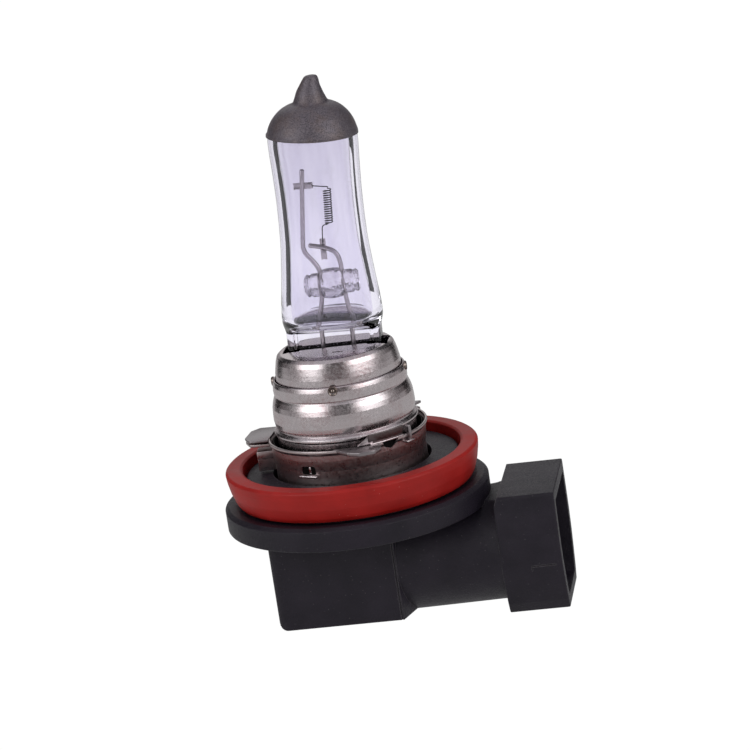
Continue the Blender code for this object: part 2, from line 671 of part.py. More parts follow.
def block():
    """The upright block under the flange; its right end is drawn in on both sides."""
    outline = [(BLOCK_RIGHT, -BLOCK_HALF_WIDTH), (BLOCK_END, -BLOCK_END_HALF_WIDTH),
               (BLOCK_END, BLOCK_END_HALF_WIDTH), (BLOCK_RIGHT, BLOCK_HALF_WIDTH)]
    left = rounded_outline((BLOCK_LEFT, -BLOCK_HALF_WIDTH), (0.0, BLOCK_HALF_WIDTH), 1.2)
    outline += left[5:15]
    return prism("block", outline, "z", 0.0, FLANGE_BOTTOM + 0.6)


def neck():
    """The neck between block and hood, a little higher than it is wide."""
    angles = [math.tau * i / METAL_SIDES for i in range(METAL_SIDES)]
    outline = [(NECK_HALF_WIDTH * math.cos(a), NECK_AXIS_Z + NECK_HALF_HEIGHT * math.sin(a))
               for a in angles]
    return prism("neck", outline, "x", NECK_START, HOOD_BACK + 1.0)


def hood_outline(inset=0.0):
    """One side of the hood's outline and its mirror image: flat top, bulging cheeks, slim foot."""
    middle = (HOOD_TOP + HOOD_BOTTOM) / 2
    narrow = 1.0 - inset / HOOD_HALF_WIDTH
    low = 1.0 - inset / (HOOD_TOP - middle)
    side = [(HOOD_FOOT_HALF_WIDTH - 0.8, HOOD_BOTTOM), (HOOD_FOOT_HALF_WIDTH, HOOD_BOTTOM + 0.5),
            (6.5, 2.0), (7.1, 4.5), (HOOD_HALF_WIDTH, 7.5), (7.3, 10.0), (7.0, HOOD_TOP - 0.6),
            (6.5, HOOD_TOP)]
    side = [(y * narrow, middle + (z - middle) * low) for y, z in side]
    return side + [(-y, z) for y, z in reversed(side)]


def hood():
    """The connector hood, drawn out along X."""
    return prism("hood", hood_outline(), "x", HOOD_BACK, HOOD_MOUTH)


def make_base():
    base = joined(flange_and_spigot(), [block(), neck(), hood()])
    pocket = [(0.0, SPIGOT_TOP + 1.0), (RING_RADIUS + 0.2 + GAP, SPIGOT_TOP + 1.0),
              (RING_RADIUS + 0.2 + GAP, RING_FOOT - GAP), (WELL_RADIUS, RING_FOOT - GAP),
              (WELL_RADIUS, WELL_FLOOR), (0.0, WELL_FLOOR)]
    cuts = [turned("well", pocket, METAL_SIDES),
            prism("mouth", hood_outline(HOOD_WALL), "x", HOOD_BACK + 1.0, HOOD_MOUTH + 1.0),
            rod("socket", (SOCKET_FLOOR_X, 0, NECK_AXIS_Z), (HOOD_BACK + 2.0, 0, NECK_AXIS_Z),
                SOCKET_RADIUS, METAL_SIDES - 8)]
    half = BLADE_THICKNESS / 2 + GAP
    for side in (-1, 1):
        y = side * BLADE_SPACING / 2
        cuts.append(box("blade_slot", (BLADE_HEEL_X - GAP, y - half, NECK_AXIS_Z - 1.4 - GAP),
                        (SOCKET_FLOOR_X + 1.0, y + half, NECK_AXIS_Z + 1.4 + GAP)))
    finish(cut(base, cuts), "connector_base", "black_plastic")


def make_blades():
    """Two L-shaped blades: an upright heel in the well, and a tip in the socket."""
    low, high = NECK_AXIS_Z - BLADE_WIDTH / 2, NECK_AXIS_Z + BLADE_WIDTH / 2
    heel_end = BLADE_HEEL_X + 1.5
    outline = [(BLADE_HEEL_X, low), (BLADE_TIP_X - 0.8, low), (BLADE_TIP_X, low + 0.7),
               (BLADE_TIP_X, high - 0.7), (BLADE_TIP_X - 0.8, high), (heel_end, high),
               (heel_end, BLADE_TOP), (BLADE_HEEL_X, BLADE_TOP)]
    for side, name in ((-1, "contact_blade_long"), (1, "contact_blade_short")):
        y = side * BLADE_SPACING / 2
        blade = prism(name + "_sheet", outline, "y", y - BLADE_THICKNESS / 2,
                      y + BLADE_THICKNESS / 2)
        finish(blade, name, "tinned_blade")


def main():
    make_base()
    make_blades()
    make_seal_ring()
    make_cap_ring()
    make_sleeve()
    make_holder()
    axis = make_burner_axis()
    make_burner_clip(axis)
    make_foils(axis)
    make_leads(axis)
    make_posts(axis)
    make_clips(axis)
    make_bridge(axis)
    make_filament(axis)
    make_capsule(axis)
    make_blackout_cap(axis)


main()
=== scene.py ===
"""Looks of the halogen headlight bulb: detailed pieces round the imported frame, studio and camera.

Lengths are millimetres until a mesh is made. Heights are above the lip of the metal cap ring,
except on the plastic base and the seal ring, where z is above the origin.
"""
import math

import bmesh
import bpy
from mathutils import Matrix, Vector


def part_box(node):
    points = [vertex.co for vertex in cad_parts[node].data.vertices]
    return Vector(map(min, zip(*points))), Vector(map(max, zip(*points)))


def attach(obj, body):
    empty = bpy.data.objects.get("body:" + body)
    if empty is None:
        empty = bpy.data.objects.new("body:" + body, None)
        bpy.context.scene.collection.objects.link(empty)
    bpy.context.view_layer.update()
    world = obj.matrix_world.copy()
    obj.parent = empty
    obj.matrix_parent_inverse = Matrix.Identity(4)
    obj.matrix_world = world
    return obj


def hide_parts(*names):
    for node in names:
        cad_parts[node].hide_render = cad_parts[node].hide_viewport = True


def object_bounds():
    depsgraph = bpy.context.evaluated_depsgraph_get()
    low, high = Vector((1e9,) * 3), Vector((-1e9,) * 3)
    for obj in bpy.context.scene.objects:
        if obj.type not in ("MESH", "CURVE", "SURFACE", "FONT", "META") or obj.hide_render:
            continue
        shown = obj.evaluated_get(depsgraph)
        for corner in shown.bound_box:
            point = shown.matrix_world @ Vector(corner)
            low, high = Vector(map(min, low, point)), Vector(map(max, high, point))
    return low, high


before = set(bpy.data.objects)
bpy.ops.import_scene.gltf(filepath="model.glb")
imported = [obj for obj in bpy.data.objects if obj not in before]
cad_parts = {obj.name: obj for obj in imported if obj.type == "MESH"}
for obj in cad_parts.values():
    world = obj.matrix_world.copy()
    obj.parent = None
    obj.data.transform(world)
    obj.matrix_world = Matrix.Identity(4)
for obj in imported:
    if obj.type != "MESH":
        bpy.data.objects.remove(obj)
CAD_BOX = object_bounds()

MM = 0.001


def measured(node):
    """A CAD node's lowest and highest corners in millimetres."""
    low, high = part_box(node)
    return low / MM, high / MM


# ------------------------------------------------------------------ sizes, from the frame

BASE_LOW, BASE_HIGH = measured("connector_base")
SEAL_LOW, SEAL_HIGH = measured("seal_ring")
RING_FOOT_Z = measured("cap_ring")[0].z
LIP = 22.3
FLANGE_RADIUS = BASE_HIGH.y
MOUTH_X = BASE_HIGH.x
HOOD_BOTTOM = BASE_LOW.z
SPIGOT_TOP = BASE_HIGH.z
SEAL_RADIUS = SEAL_HIGH.y

# Base.
FLANGE_BOTTOM = 12.05
FLANGE_TOP = 14.9
SPIGOT_RADIUS = 12.8
BLOCK_LEFT = -10.6
BLOCK_RIGHT = 4.5
BLOCK_END = 5.7
HALF_WIDTH = 7.0
NECK_HALF_WIDTH = 6.95
NECK_Z = 6.4
NECK_TOP = 12.55
HOOD_BACK = 16.9
HOOD_TOP = 13.75
HOOD_WALL = 1.3
SOCKET_RADIUS = 5.6
SOCKET_FLOOR_X = 8.8
WELL_RADIUS = 5.2
WELL_FLOOR = 2.6

# Metal.
RING_RADIUS = 9.25
LIP_RADIUS = 9.55
RING_FOOT = RING_FOOT_Z - LIP
HOLDER_TOP = 10.35
BAND_TOP = 7.15
BAND_RADIUS = 8.0
SLEEVE_RADIUS = 8.45
SHEET = 0.3
FLAP_HEIGHT = 1.28
FLAP_FLARE = 0.035
WELD_HEIGHT = 6.7
WELD_ANGLES = (-87.5, 2.5, 92.5, 182.5)
LEFT_LUG_ANGLE = 176.5
FAR_LUG_ANGLE = 58.0
FOLD_ANGLE = -33.0
STRUT_ANGLE = 184.0
WINDOW_ANGLE = -115.0
NOTCH_ANGLE = -50.0

# Burner.
LEAN = math.radians(2.3)
BURNER_X = -0.24
PINCH_HALF_WIDTH = 5.6
WEB_HALF = 1.35
RIB_HALF = 1.75
PINCH_TOP = 12.1
BULGE_HEIGHT = 13.8
GLASS_WALL = 1.08
POST_RADIUS = 0.275
GLASS_PROFILE = [(13.8, 5.96), (14.4, 5.96), (16.0, 5.84), (17.7, 5.65), (20.5, 5.36),
                 (23.5, 5.12), (28.0, 5.05), (31.5, 5.14), (34.5, 5.27)]
DOME_PROFILE = [(35.7, 5.22, 0.0), (36.7, 4.98, 0.0), (37.5, 4.58, 0.02), (38.1, 4.08, 0.05),
                (38.65, 3.42, 0.08), (39.05, 2.68, 0.12), (39.32, 2.0, 0.2), (39.95, 1.66, 0.21),
                (40.65, 1.38, 0.22), (41.3, 1.08, 0.33), (41.95, 0.82, 0.5), (42.3, 0.6, 0.58)]
LONG_POST = [(-1.42, 8.9), (-1.42, 12.4), (-1.41, 13.9), (-1.07, 15.8), (-0.82, 17.6),
             (-0.84, 18.8), (-1.1, 19.8), (-1.75, 20.75), (-2.3, 21.45), (-2.55, 22.1),
             (-2.53, 23.2), (-1.7, 31.5)]
SHORT_POST = [(2.2, 8.9), (2.2, 12.6), (2.17, 14.0), (1.93, 15.4), (1.73, 16.9), (1.6, 18.3),
              (1.66, 19.6), (1.55, 20.5), (1.3, 21.2), (0.85, 21.7), (0.1, 22.05), (-0.8, 22.3),
              (-1.8, 22.5)]
COIL_RADIUS = 0.45
COIL_TURNS = 15
COIL_LOW = (0.81, 24.98)
COIL_HIGH = (1.0, 29.08)
FILAMENT_WIRE = 0.065

# Camera, in the frame of the cap ring's lip.
CAMERA_DISTANCE = 400.0
CAMERA_AZIMUTH = math.radians(9.5)
CAMERA_ELEVATION = math.radians(14.64)
CAMERA_ROLL = math.radians(8.65)
CAMERA_LENS = 162.2
AIM_RIGHT = 4.19
AIM_UP = 5.83

BURNER = Matrix.Translation((BURNER_X * MM, 0.0, LIP * MM)) @ Matrix.Rotation(LEAN, 4, "Y")
UPRIGHT = Matrix.Translation((0.0, 0.0, LIP * MM))
GROUND = Matrix.Identity(4)


# ------------------------------------------------------------------------------- node tools

class Shading:
    """A material's node tree, with short calls for the nodes used here."""

    def __init__(self, name):
        self.material = bpy.data.materials.new(name)
        self.material.use_nodes = True
        self.nodes = self.material.node_tree.nodes
        self.links = self.material.node_tree.links
        self.surface = self.nodes["Principled BSDF"]
        self.place = self.nodes.new("ShaderNodeTexCoord").outputs["Object"]

    def set(self, **values):
        for key, value in values.items():
            self.surface.inputs[key.replace("_", " ")].default_value = value
        return self

    def link(self, output, key):
        self.links.new(output, self.surface.inputs[key])

    def noise(self, size_mm, detail=2.0, roughness=0.5, stretch=None):
        node = self.nodes.new("ShaderNodeTexNoise")
        node.inputs["Scale"].default_value = 1.0 / (size_mm * MM)
        node.inputs["Detail"].default_value = detail
        node.inputs["Roughness"].default_value = roughness
        self.links.new(self.stretched(stretch), node.inputs["Vector"])
        return node.outputs["Fac"]

    def height(self):
        node = self.nodes.new("ShaderNodeSeparateXYZ")
        self.links.new(self.place, node.inputs[0])
        return node.outputs["Z"]

    def cells(self, size_mm):
        node = self.nodes.new("ShaderNodeTexVoronoi")
        node.inputs["Scale"].default_value = 1.0 / (size_mm * MM)
        self.links.new(self.place, node.inputs["Vector"])
        return node.outputs["Distance"]

    def stretched(self, stretch):
        if stretch is None:
            return self.place
        node = self.nodes.new("ShaderNodeMapping")
        node.inputs["Scale"].default_value = stretch
        self.links.new(self.place, node.inputs["Vector"])
        return node.outputs["Vector"]

    def ramp(self, factor, *stops):
        node = self.nodes.new("ShaderNodeValToRGB")
        ramp = node.color_ramp
        while len(ramp.elements) < len(stops):
            ramp.elements.new(0.5)
        for element, (position, color) in zip(ramp.elements, stops):
            element.position = position
            element.color = color if len(color) == 4 else (*color, 1.0)
        self.links.new(factor, node.inputs["Fac"])
        return node.outputs["Color"]

    def mixed(self, factor, first, second):
        node = self.nodes.new("ShaderNodeMix")
        node.data_type = "RGBA"
        self.links.new(factor, node.inputs["Factor"])
        self.links.new(first, node.inputs["A"])
        self.links.new(second, node.inputs["B"])
        return node.outputs["Result"]

    def ranged(self, factor, low, high, start=0.0, end=1.0):
        node = self.nodes.new("ShaderNodeMapRange")
        for key, value in (("From Min", start), ("From Max", end), ("To Min", low), ("To Max", high)):
            node.inputs[key].default_value = value
        self.links.new(factor, node.inputs["Value"])
        return node.outputs["Result"]

    def bump(self, height, depth_mm, strength=1.0, below=None):
        node = self.nodes.new("ShaderNodeBump")
        node.inputs["Strength"].default_value = strength
        node.inputs["Distance"].default_value = depth_mm * MM
        self.links.new(height, node.inputs["Height"])
        if below is not None:
            self.links.new(below, node.inputs["Normal"])
        return node.outputs["Normal"]

    def edges(self, radius_mm):
        """1 along the edges of the shape and 0 on its faces, from normals rounded over a radius."""
        soft = self.nodes.new("ShaderNodeBevel")
        soft.samples = 6
        soft.inputs["Radius"].default_value = radius_mm * MM
        flat = self.nodes.new("ShaderNodeNewGeometry")
        match = self.nodes.new("ShaderNodeVectorMath")
        match.operation = "DOT_PRODUCT"
        self.links.new(soft.outputs["Normal"], match.inputs[0])
        self.links.new(flat.outputs["Normal"], match.inputs[1])
        return self.ranged(match.outputs["Value"], 1.0, 0.0, 0.8, 0.97)


# -------------------------------------------------------------------------------- materials

def clear_glass():
    """Faint lavender glass, drawn in soft upright streaks, with painted shade greying it towards the
    cap.
    """
    s = Shading("clear_glass").set(Transmission_Weight=1.0, IOR=1.46)
    streak = s.noise(1.6, 2.0, stretch=(1.0, 1.0, 0.1))
    light = s.ramp(streak, (0.35, (0.8, 0.775, 0.9)), (0.65, (0.885, 0.865, 0.955)))
    # painted shade: a greyer copy of the tint, mixed in with height towards the cap
    cap_shade = s.ramp(streak, (0.35, (0.7, 0.675, 0.775)), (0.65, (0.79, 0.77, 0.86)))
    s.link(s.mixed(s.ranged(s.height(), 0.0, 1.0, 0.044, 0.06), light, cap_shade), "Base Color")
    s.link(s.ranged(s.noise(0.9), 0.0, 0.004, 0.45, 0.8), "Roughness")
    s.link(s.bump(s.noise(1.2, 2.0, stretch=(1.0, 1.0, 0.12)), 0.004), "Normal")
    return s.material


def bridge_glass():
    s = Shading("bridge_glass").set(Transmission_Weight=1.0, IOR=1.58)
    mottle = s.noise(0.8, 2.0)
    s.link(s.ramp(mottle, (0.35, (0.8, 0.77, 0.8)), (0.6, (0.98, 0.965, 0.98))), "Base Color")
    s.link(s.ranged(mottle, 0.0, 0.03), "Roughness")
    s.link(s.bump(mottle, 0.2), "Normal")
    return s.material


def cap_coating():
    s = Shading("cap_coating").set(Metallic=0.35, Specular_IOR_Level=0.5)
    grain = s.noise(0.14, 3.0, 0.6)
    blotch = s.noise(2.2, 3.0, 0.6)
    dark = s.ramp(grain, (0.35, (0.062, 0.052, 0.064)), (0.68, (0.19, 0.165, 0.188)))
    bronze = s.ramp(grain, (0.35, (0.07, 0.05, 0.048)), (0.7, (0.24, 0.18, 0.165)))
    s.link(s.mixed(s.ranged(blotch, 0.0, 0.75, 0.45, 0.75), dark, bronze), "Base Color")
    s.link(s.ranged(grain, 0.34, 0.52), "Roughness")
    s.link(s.bump(grain, 0.03, 1.0, s.bump(blotch, 0.06)), "Normal")
    return s.material


def plated(name, tone, roughness, dirt):
    """Nickel plate over drawn sheet: faint draw lines, mottling and a brown haze."""
    s = Shading(name).set(Metallic=1.0)
    lines = s.noise(0.22, 3.0, 0.6, stretch=(0.15, 0.15, 1.0))
    mottle = s.noise(0.3, 2.0)
    haze = s.noise(4.5, 2.0)
    clean = s.ramp(mottle, (0.3, tuple(0.88 * c for c in tone)), (0.7, tone))
    brown = s.ramp(mottle, (0.3, tuple(c * d for c, d in zip(tone, dirt))), (0.7, tone))
    s.link(s.mixed(s.ranged(haze, 0.0, 1.0, 0.48, 0.68), clean, brown), "Base Color")
    s.link(s.ranged(mottle, roughness, roughness + 0.1, 0.3, 0.7), "Roughness")
    s.link(s.bump(mottle, 0.007, 1.0, s.bump(lines, 0.004)), "Normal")
    return s.material


def drawn_wire(name, tone, roughness):
    s = Shading(name).set(Metallic=1.0)
    grain = s.noise(0.12, 2.0, stretch=(1.0, 1.0, 0.2))
    s.link(s.ramp(grain, (0.3, tuple(0.7 * c for c in tone)), (0.7, tone)), "Base Color")
    s.link(s.ranged(grain, roughness, roughness + 0.15), "Roughness")
    s.link(s.bump(grain, 0.006), "Normal")
    return s.material


def red_silicone():
    s = Shading("red_silicone").set(Specular_IOR_Level=0.28)
    cloud = s.noise(3.5, 3.0)
    dust = s.cells(0.75)
    body = s.ramp(cloud, (0.3, (0.3, 0.008, 0.006)), (0.7, (0.4, 0.013, 0.01)))
    speck = s.ramp(cloud, (0.0, (0.5, 0.2, 0.17)), (1.0, (0.6, 0.25, 0.22)))
    s.link(s.mixed(s.ranged(dust, 0.6, 0.0, 0.02, 0.09), body, speck), "Base Color")
    s.link(s.ranged(cloud, 0.42, 0.55, 0.3, 0.7), "Roughness")
    s.link(s.bump(s.noise(0.5, 3.0), 0.012), "Normal")
    return s.material


def black_plastic():
    s = Shading("black_plastic").set(Specular_IOR_Level=0.3)
    grain = s.noise(0.2, 4.0, 0.65)
    cloud = s.noise(5.0, 3.0)
    body = s.ramp(cloud, (0.3, (0.008, 0.0058, 0.0115)), (0.7, (0.0165, 0.0125, 0.021)))
    wear_and_edge_highlight = s.ramp(grain, (0.3, (0.05, 0.045, 0.05)), (0.7, (0.11, 0.1, 0.11)))
    specked = s.mixed(s.ranged(s.cells(0.65), 0.9, 0.0, 0.03, 0.11), body, wear_and_edge_highlight)
    # lighter along every edge, convex and hollow: partly wear, partly painted edge highlight
    s.link(s.mixed(s.edges(0.22), specked, wear_and_edge_highlight), "Base Color")
    s.link(s.ranged(grain, 0.34, 0.56, 0.3, 0.7), "Roughness")
    s.link(s.bump(grain, 0.06, 1.0, s.bump(cloud, 0.3, 0.7)), "Normal")
    return s.material


GLASS = clear_glass()
BRIDGE = bridge_glass()
COATING = cap_coating()
# Nickel is the sleeve's and holder's own finish; on cap-ring pieces it is a lighter copy of the ring's
# plate, a painted highlight. The lug plate and the shaded plate are darker copies of the ring's plate:
# painted shade.
NICKEL = plated("nickel_plate", (0.66, 0.6, 0.615), 0.2, (0.74, 0.62, 0.62))
RING_PLATE = plated("ring_plate", (0.5, 0.44, 0.44), 0.27, (0.74, 0.62, 0.6))
LUG_SHADE_PLATE = plated("lug_shade_plate", (0.33, 0.3, 0.31), 0.26, (0.8, 0.7, 0.7))
SHADED_PLATE = plated("shaded_plate", (0.16, 0.135, 0.135), 0.3, (0.8, 0.7, 0.7))
POST_METAL = drawn_wire("support_metal", (0.6, 0.555, 0.56), 0.24)
LEAD_METAL = drawn_wire("lead_metal", (0.5, 0.48, 0.47), 0.3)
TUNGSTEN = drawn_wire("tungsten", (0.045, 0.04, 0.045), 0.45)
FOIL = drawn_wire("foil", (0.5, 0.5, 0.52), 0.2)
BLADE_TIN = drawn_wire("tinned_blade", (0.68, 0.67, 0.64), 0.25)
# near black, for the liner in the ring's gap: painted shade
GAP_SHADE = drawn_wire("gap_shade_black", (0.014, 0.012, 0.012), 0.6)
SPRING = drawn_wire("spring_steel", (0.55, 0.53, 0.53), 0.28)
RED = red_silicone()
BLACK = black_plastic()
WELD = plated("weld_bead", (0.26, 0.22, 0.2), 0.2, (0.35, 0.28, 0.24))


# ------------------------------------------------------------------------------ shape tools

def made(name, bm, material, place=GROUND, sharp_degrees=32.0):
    """An object from the bmesh, in metres, faces out, smooth but for its sharp edges."""
    bmesh.ops.recalc_face_normals(bm, faces=bm.faces)
    mesh = bpy.data.meshes.new(name)
    bm.to_mesh(mesh)
    bm.free()
    mesh.transform(place)
    mesh.materials.append(material)
    mesh.shade_smooth()
    mesh.set_sharp_from_angle(angle=math.radians(sharp_degrees))
    obj = bpy.data.objects.new(name, mesh)
    bpy.context.scene.collection.objects.link(obj)
    return obj


def placed(obj, node, body="lamp"):
    """The piece rides on the lamp and stands for the node."""
    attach(obj, body)
    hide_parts(node)
    return obj


def rounded(points, radius=0.1, steps=4):
    """A closed outline with each corner turned into an arc; a point may carry its own radius."""
    result = []
    count = len(points)
    for i, point in enumerate(points):
        here = Vector(point[:2])
        own = point[2] if len(point) > 2 else radius
        back = Vector(points[i - 1][:2]) - here
        ahead = Vector(points[(i + 1) % count][:2]) - here
        if own <= 0.0 or back.length < 1e-6 or ahead.length < 1e-6:
            result.append(tuple(here))
            continue
        turn = back.angle(ahead)
        reach = min(own / math.tan(turn / 2), 0.49 * back.length, 0.49 * ahead.length)
        start = here + back.normalized() * reach
        end = here + ahead.normalized() * reach
        for step in range(steps + 1):
            t = step / steps
            result.append(tuple(start * (1 - t) ** 2 + here * 2 * t * (1 - t) + end * t ** 2))
    return result


def lathe(profile, segments=128):
    """A closed outline (radius, z) turned about the axis."""
    bm = bmesh.new()
    rings = []
    for radius, z in profile:
        if radius < 1e-5:
            rings.append([bm.verts.new((0.0, 0.0, z * MM))])
            continue
        rings.append([bm.verts.new((radius * math.cos(math.tau * i / segments) * MM,
                                    radius * math.sin(math.tau * i / segments) * MM, z * MM))
                      for i in range(segments)])
    for first, second in zip(rings, rings[1:] + rings[:1]):
        if len(first) == 1 and len(second) == 1:
            continue
        for i in range(segments):
            j = (i + 1) % segments
            corners = [first[i % len(first)], first[j % len(first)],
                       second[j % len(second)], second[i % len(second)]]
            bm.faces.new(list(dict.fromkeys(corners)))
    return bm


def loft(sections, caps=True):
    """Faces through rings of the same number of points."""
    bm = bmesh.new()
    add_loft(bm, sections, caps)
    return bm


def add_loft(bm, sections, caps=True):
    rings = [[bm.verts.new(Vector(p) * MM) for p in section] for section in sections]
    count = len(rings[0])
    for low, high in zip(rings, rings[1:]):
        for i in range(count):
            j = (i + 1) % count
            bm.faces.new((low[i], low[j], high[j], high[i]))
    if caps:
        bm.faces.new(list(reversed(rings[0])))
        bm.faces.new(rings[-1])


def smooth_route(points, steps):
    """Points on a Catmull-Rom curve through the given ones."""
    points = [Vector(p) for p in points]
    padded = [2 * points[0] - points[1]] + points + [2 * points[-1] - points[-2]]
    route = []
    for a, b, c, d in zip(padded, padded[1:], padded[2:], padded[3:]):
        for step in range(steps):
            t = step / steps
            route.append(0.5 * (2 * b + (c - a) * t + (2 * a - 5 * b + 4 * c - d) * t ** 2
                                + (3 * b - a - 3 * c + d) * t ** 3))
    return route + [points[-1]]


def tube(route, radius, sides=16, dome=True):
    """A round wire along the route, its ends domed."""
    route = [Vector(p) for p in route]
    bm = bmesh.new()
    sections = []
    across = None
    for i, point in enumerate(route):
        ahead = route[min(i + 1, len(route) - 1)] - route[max(i - 1, 0)]
        ahead.normalize()
        if across is None:
            across = ahead.orthogonal().normalized()
        across = (across - ahead * across.dot(ahead)).normalized()
        other = ahead.cross(across)
        rings = [(0.0, 1.0)]
        if dome and i == 0:
            rings = [(-0.5, 0.45), (-0.28, 0.8), (0.0, 1.0)]
        if dome and i == len(route) - 1:
            rings = [(0.0, 1.0), (0.28, 0.8), (0.5, 0.45)]
        for shift, scale in rings:
            middle = point + ahead * (shift * radius)
            sections.append([middle + (across * math.cos(math.tau * k / sides)
                                       + other * math.sin(math.tau * k / sides)) * radius * scale
                             for k in range(sides)])
    add_loft(bm, sections)
    return bm


def prism(outline, axis, low, high):
    """A flat outline drawn out along one axis."""
    place = {"x": lambda p, q, t: (t, p, q), "y": lambda p, q, t: (p, t, q),
             "z": lambda p, q, t: (p, q, t)}[axis]
    return loft([[place(p, q, t) for p, q in outline] for t in (low, high)])


def soft_box(low, high, bevel, segments=3):
    bm = bmesh.new()
    low, high = Vector(low), Vector(high)
    bmesh.ops.create_cube(bm, size=1.0)
    bmesh.ops.scale(bm, vec=(high - low) * MM, verts=bm.verts)
    bmesh.ops.translate(bm, vec=(low + high) * 0.5 * MM, verts=bm.verts)
    bmesh.ops.bevel(bm, geom=bm.edges, offset=bevel * MM, segments=segments, affect="EDGES",
                    profile=0.5)
    return bm


def bevelled(bm, width, segments=3, angle_degrees=40.0):
    """Round the sharp edges of the bmesh."""
    bmesh.ops.recalc_face_normals(bm, faces=bm.faces)
    sharp = [e for e in bm.edges if e.calc_face_angle(0.0) > math.radians(angle_degrees)]
    bmesh.ops.bevel(bm, geom=sharp, offset=width * MM, segments=segments, affect="EDGES",
                    profile=0.5, clamp_overlap=True)
    return bm


def helper(bm, place=GROUND):
    """A solid used only by a Boolean."""
    return made("helper", bm, BLACK, place)


def combined(obj, others, operation):
    """Join or cut the other solids, apply it, and drop them."""
    for other in others:
        modifier = obj.modifiers.new("shape", "BOOLEAN")
        modifier.operation = operation
        modifier.solver = "EXACT"
        modifier.object = other
        bpy.context.view_layer.update()
        graph = bpy.context.evaluated_depsgraph_get()
        mesh = bpy.data.meshes.new_from_object(obj.evaluated_get(graph))
        obj.modifiers.clear()
        material = obj.data.materials[0]
        obj.data = mesh
        mesh.materials.clear()
        mesh.materials.append(material)
        bpy.data.objects.remove(other, do_unlink=True)
    obj.data.shade_smooth()
    obj.data.set_sharp_from_angle(angle=math.radians(32.0))
    return obj


def turned_about(degrees):
    return Matrix.Rotation(math.radians(degrees), 4, "Z")


def smoothstep(t):
    t = min(max(t, 0.0), 1.0)
    return t * t * (3.0 - 2.0 * t)


def spread(points, steps):
    """A smooth curve through the points, as plain tuples."""
    padded = [tuple(p) + (0.0,) * (3 - len(p)) for p in points]
    return [tuple(p) for p in smooth_route(padded, steps)]


# ----------------------------------------------------------------------------- plastic base

def flange_piece():
    profile = [(0.0, SPIGOT_TOP, 0), (SPIGOT_RADIUS, SPIGOT_TOP, 0.35),
               (SPIGOT_RADIUS, FLANGE_TOP - 0.3, 0.2), (FLANGE_RADIUS - 1.3, FLANGE_TOP, 0.1),
               (FLANGE_RADIUS - 0.5, FLANGE_TOP, 0.12), (FLANGE_RADIUS, FLANGE_TOP - 0.42, 0.15),
               (FLANGE_RADIUS, FLANGE_BOTTOM, 0.25), (0.0, FLANGE_BOTTOM, 0)]
    return helper(lathe(rounded(profile), 160))


def block_piece():
    """The upright block: slanted right end, round upright corners and a round lower left edge."""
    outline = [(BLOCK_LEFT, -HALF_WIDTH, 1.1), (BLOCK_RIGHT, -HALF_WIDTH, 0.06),
               (BLOCK_END, -3.2, 0.2), (BLOCK_END, 3.2, 0.2),
               (BLOCK_RIGHT, HALF_WIDTH, 0.06), (BLOCK_LEFT, HALF_WIDTH, 1.1)]
    outline = rounded(outline, steps=6)
    foot = 1.05
    rings = []
    for step in range(8):
        turn = math.pi / 2 * step / 7
        drawn_in = foot * (1.0 - math.sin(turn))
        rings.append([(max(x, BLOCK_LEFT + drawn_in), y, foot * (1.0 - math.cos(turn)))
                      for x, y in outline])
    rings.append([(x, y, FLANGE_BOTTOM + 0.6) for x, y in outline])
    return helper(loft(rings))


def oval(x, half_width, half_height, middle, count=120):
    return [(x, half_width * math.cos(math.tau * i / count),
             middle + half_height * math.sin(math.tau * i / count)) for i in range(count)]


def neck_piece():
    """The neck: a tube, flat on top below the flange, that swells where it meets the hood."""
    stations = [(4.4, 0.0, 7.15, 0.0), (10.0, 0.0, 7.06, 0.0), (15.2, 0.0, 6.97, 0.0),
                (16.1, 0.08, 7.0, 0.05), (16.6, 0.2, 7.1, 0.15), (HOOD_BACK + 0.3, 0.35, 7.2, 0.3)]
    rings = [oval(x, NECK_HALF_WIDTH + wide, high, NECK_Z + lift) for x, wide, high, lift in stations]
    return helper(loft([[(x, y, min(z, NECK_TOP)) for x, y, z in ring] for ring in rings]))


def hood_outline(inset=0.0):
    """Flat top, bulging cheeks, slim foot; the inset draws it in evenly."""
    middle = (HOOD_TOP + HOOD_BOTTOM) / 2
    narrow = 1.0 - inset / 7.4
    low = 1.0 - inset / (HOOD_TOP - middle)
    side = [(5.2, HOOD_BOTTOM, 0.4), (5.95, 0.3, 1.2), (6.6, 2.4, 3.0), (7.15, 4.8, 4.0),
            (7.36, 7.5, 6.0), (7.25, 10.0, 6.0), (6.95, HOOD_TOP, 0.45)]
    side = [(y * narrow, middle + (z - middle) * low, r) for y, z, r in side]
    return rounded(side + [(-y, z, r) for y, z, r in reversed(side)], steps=6)


def hood_piece():
    bm = prism(hood_outline(), "x", HOOD_BACK, MOUTH_X)
    return helper(bevelled(bm, 0.16, 3, 60.0))


def hood_cutters():
    """The slanted upper back edge of the hood and the fine step on each cheek."""
    slant = [(HOOD_BACK - 0.5, HOOD_TOP + 0.5), (HOOD_BACK - 0.5, 12.0), (HOOD_BACK, 12.7),
             (HOOD_BACK + 0.4, HOOD_TOP - 0.15), (HOOD_BACK + 0.7, HOOD_TOP + 0.5)]
    cutters = [helper(prism(slant, "y", -9.0, 9.0))]
    for side in (-1.0, 1.0):
        for low, high in (((20.4, 5.0), (23.3, 5.14)), ((20.4, 4.3), (20.52, 5.0))):
            cutters.append(helper(soft_box((low[0], side * 7.35 - 0.3, low[1]),
                                           (high[0], side * 7.35 + 0.3, high[1]), 0.02, 1)))
    return cutters


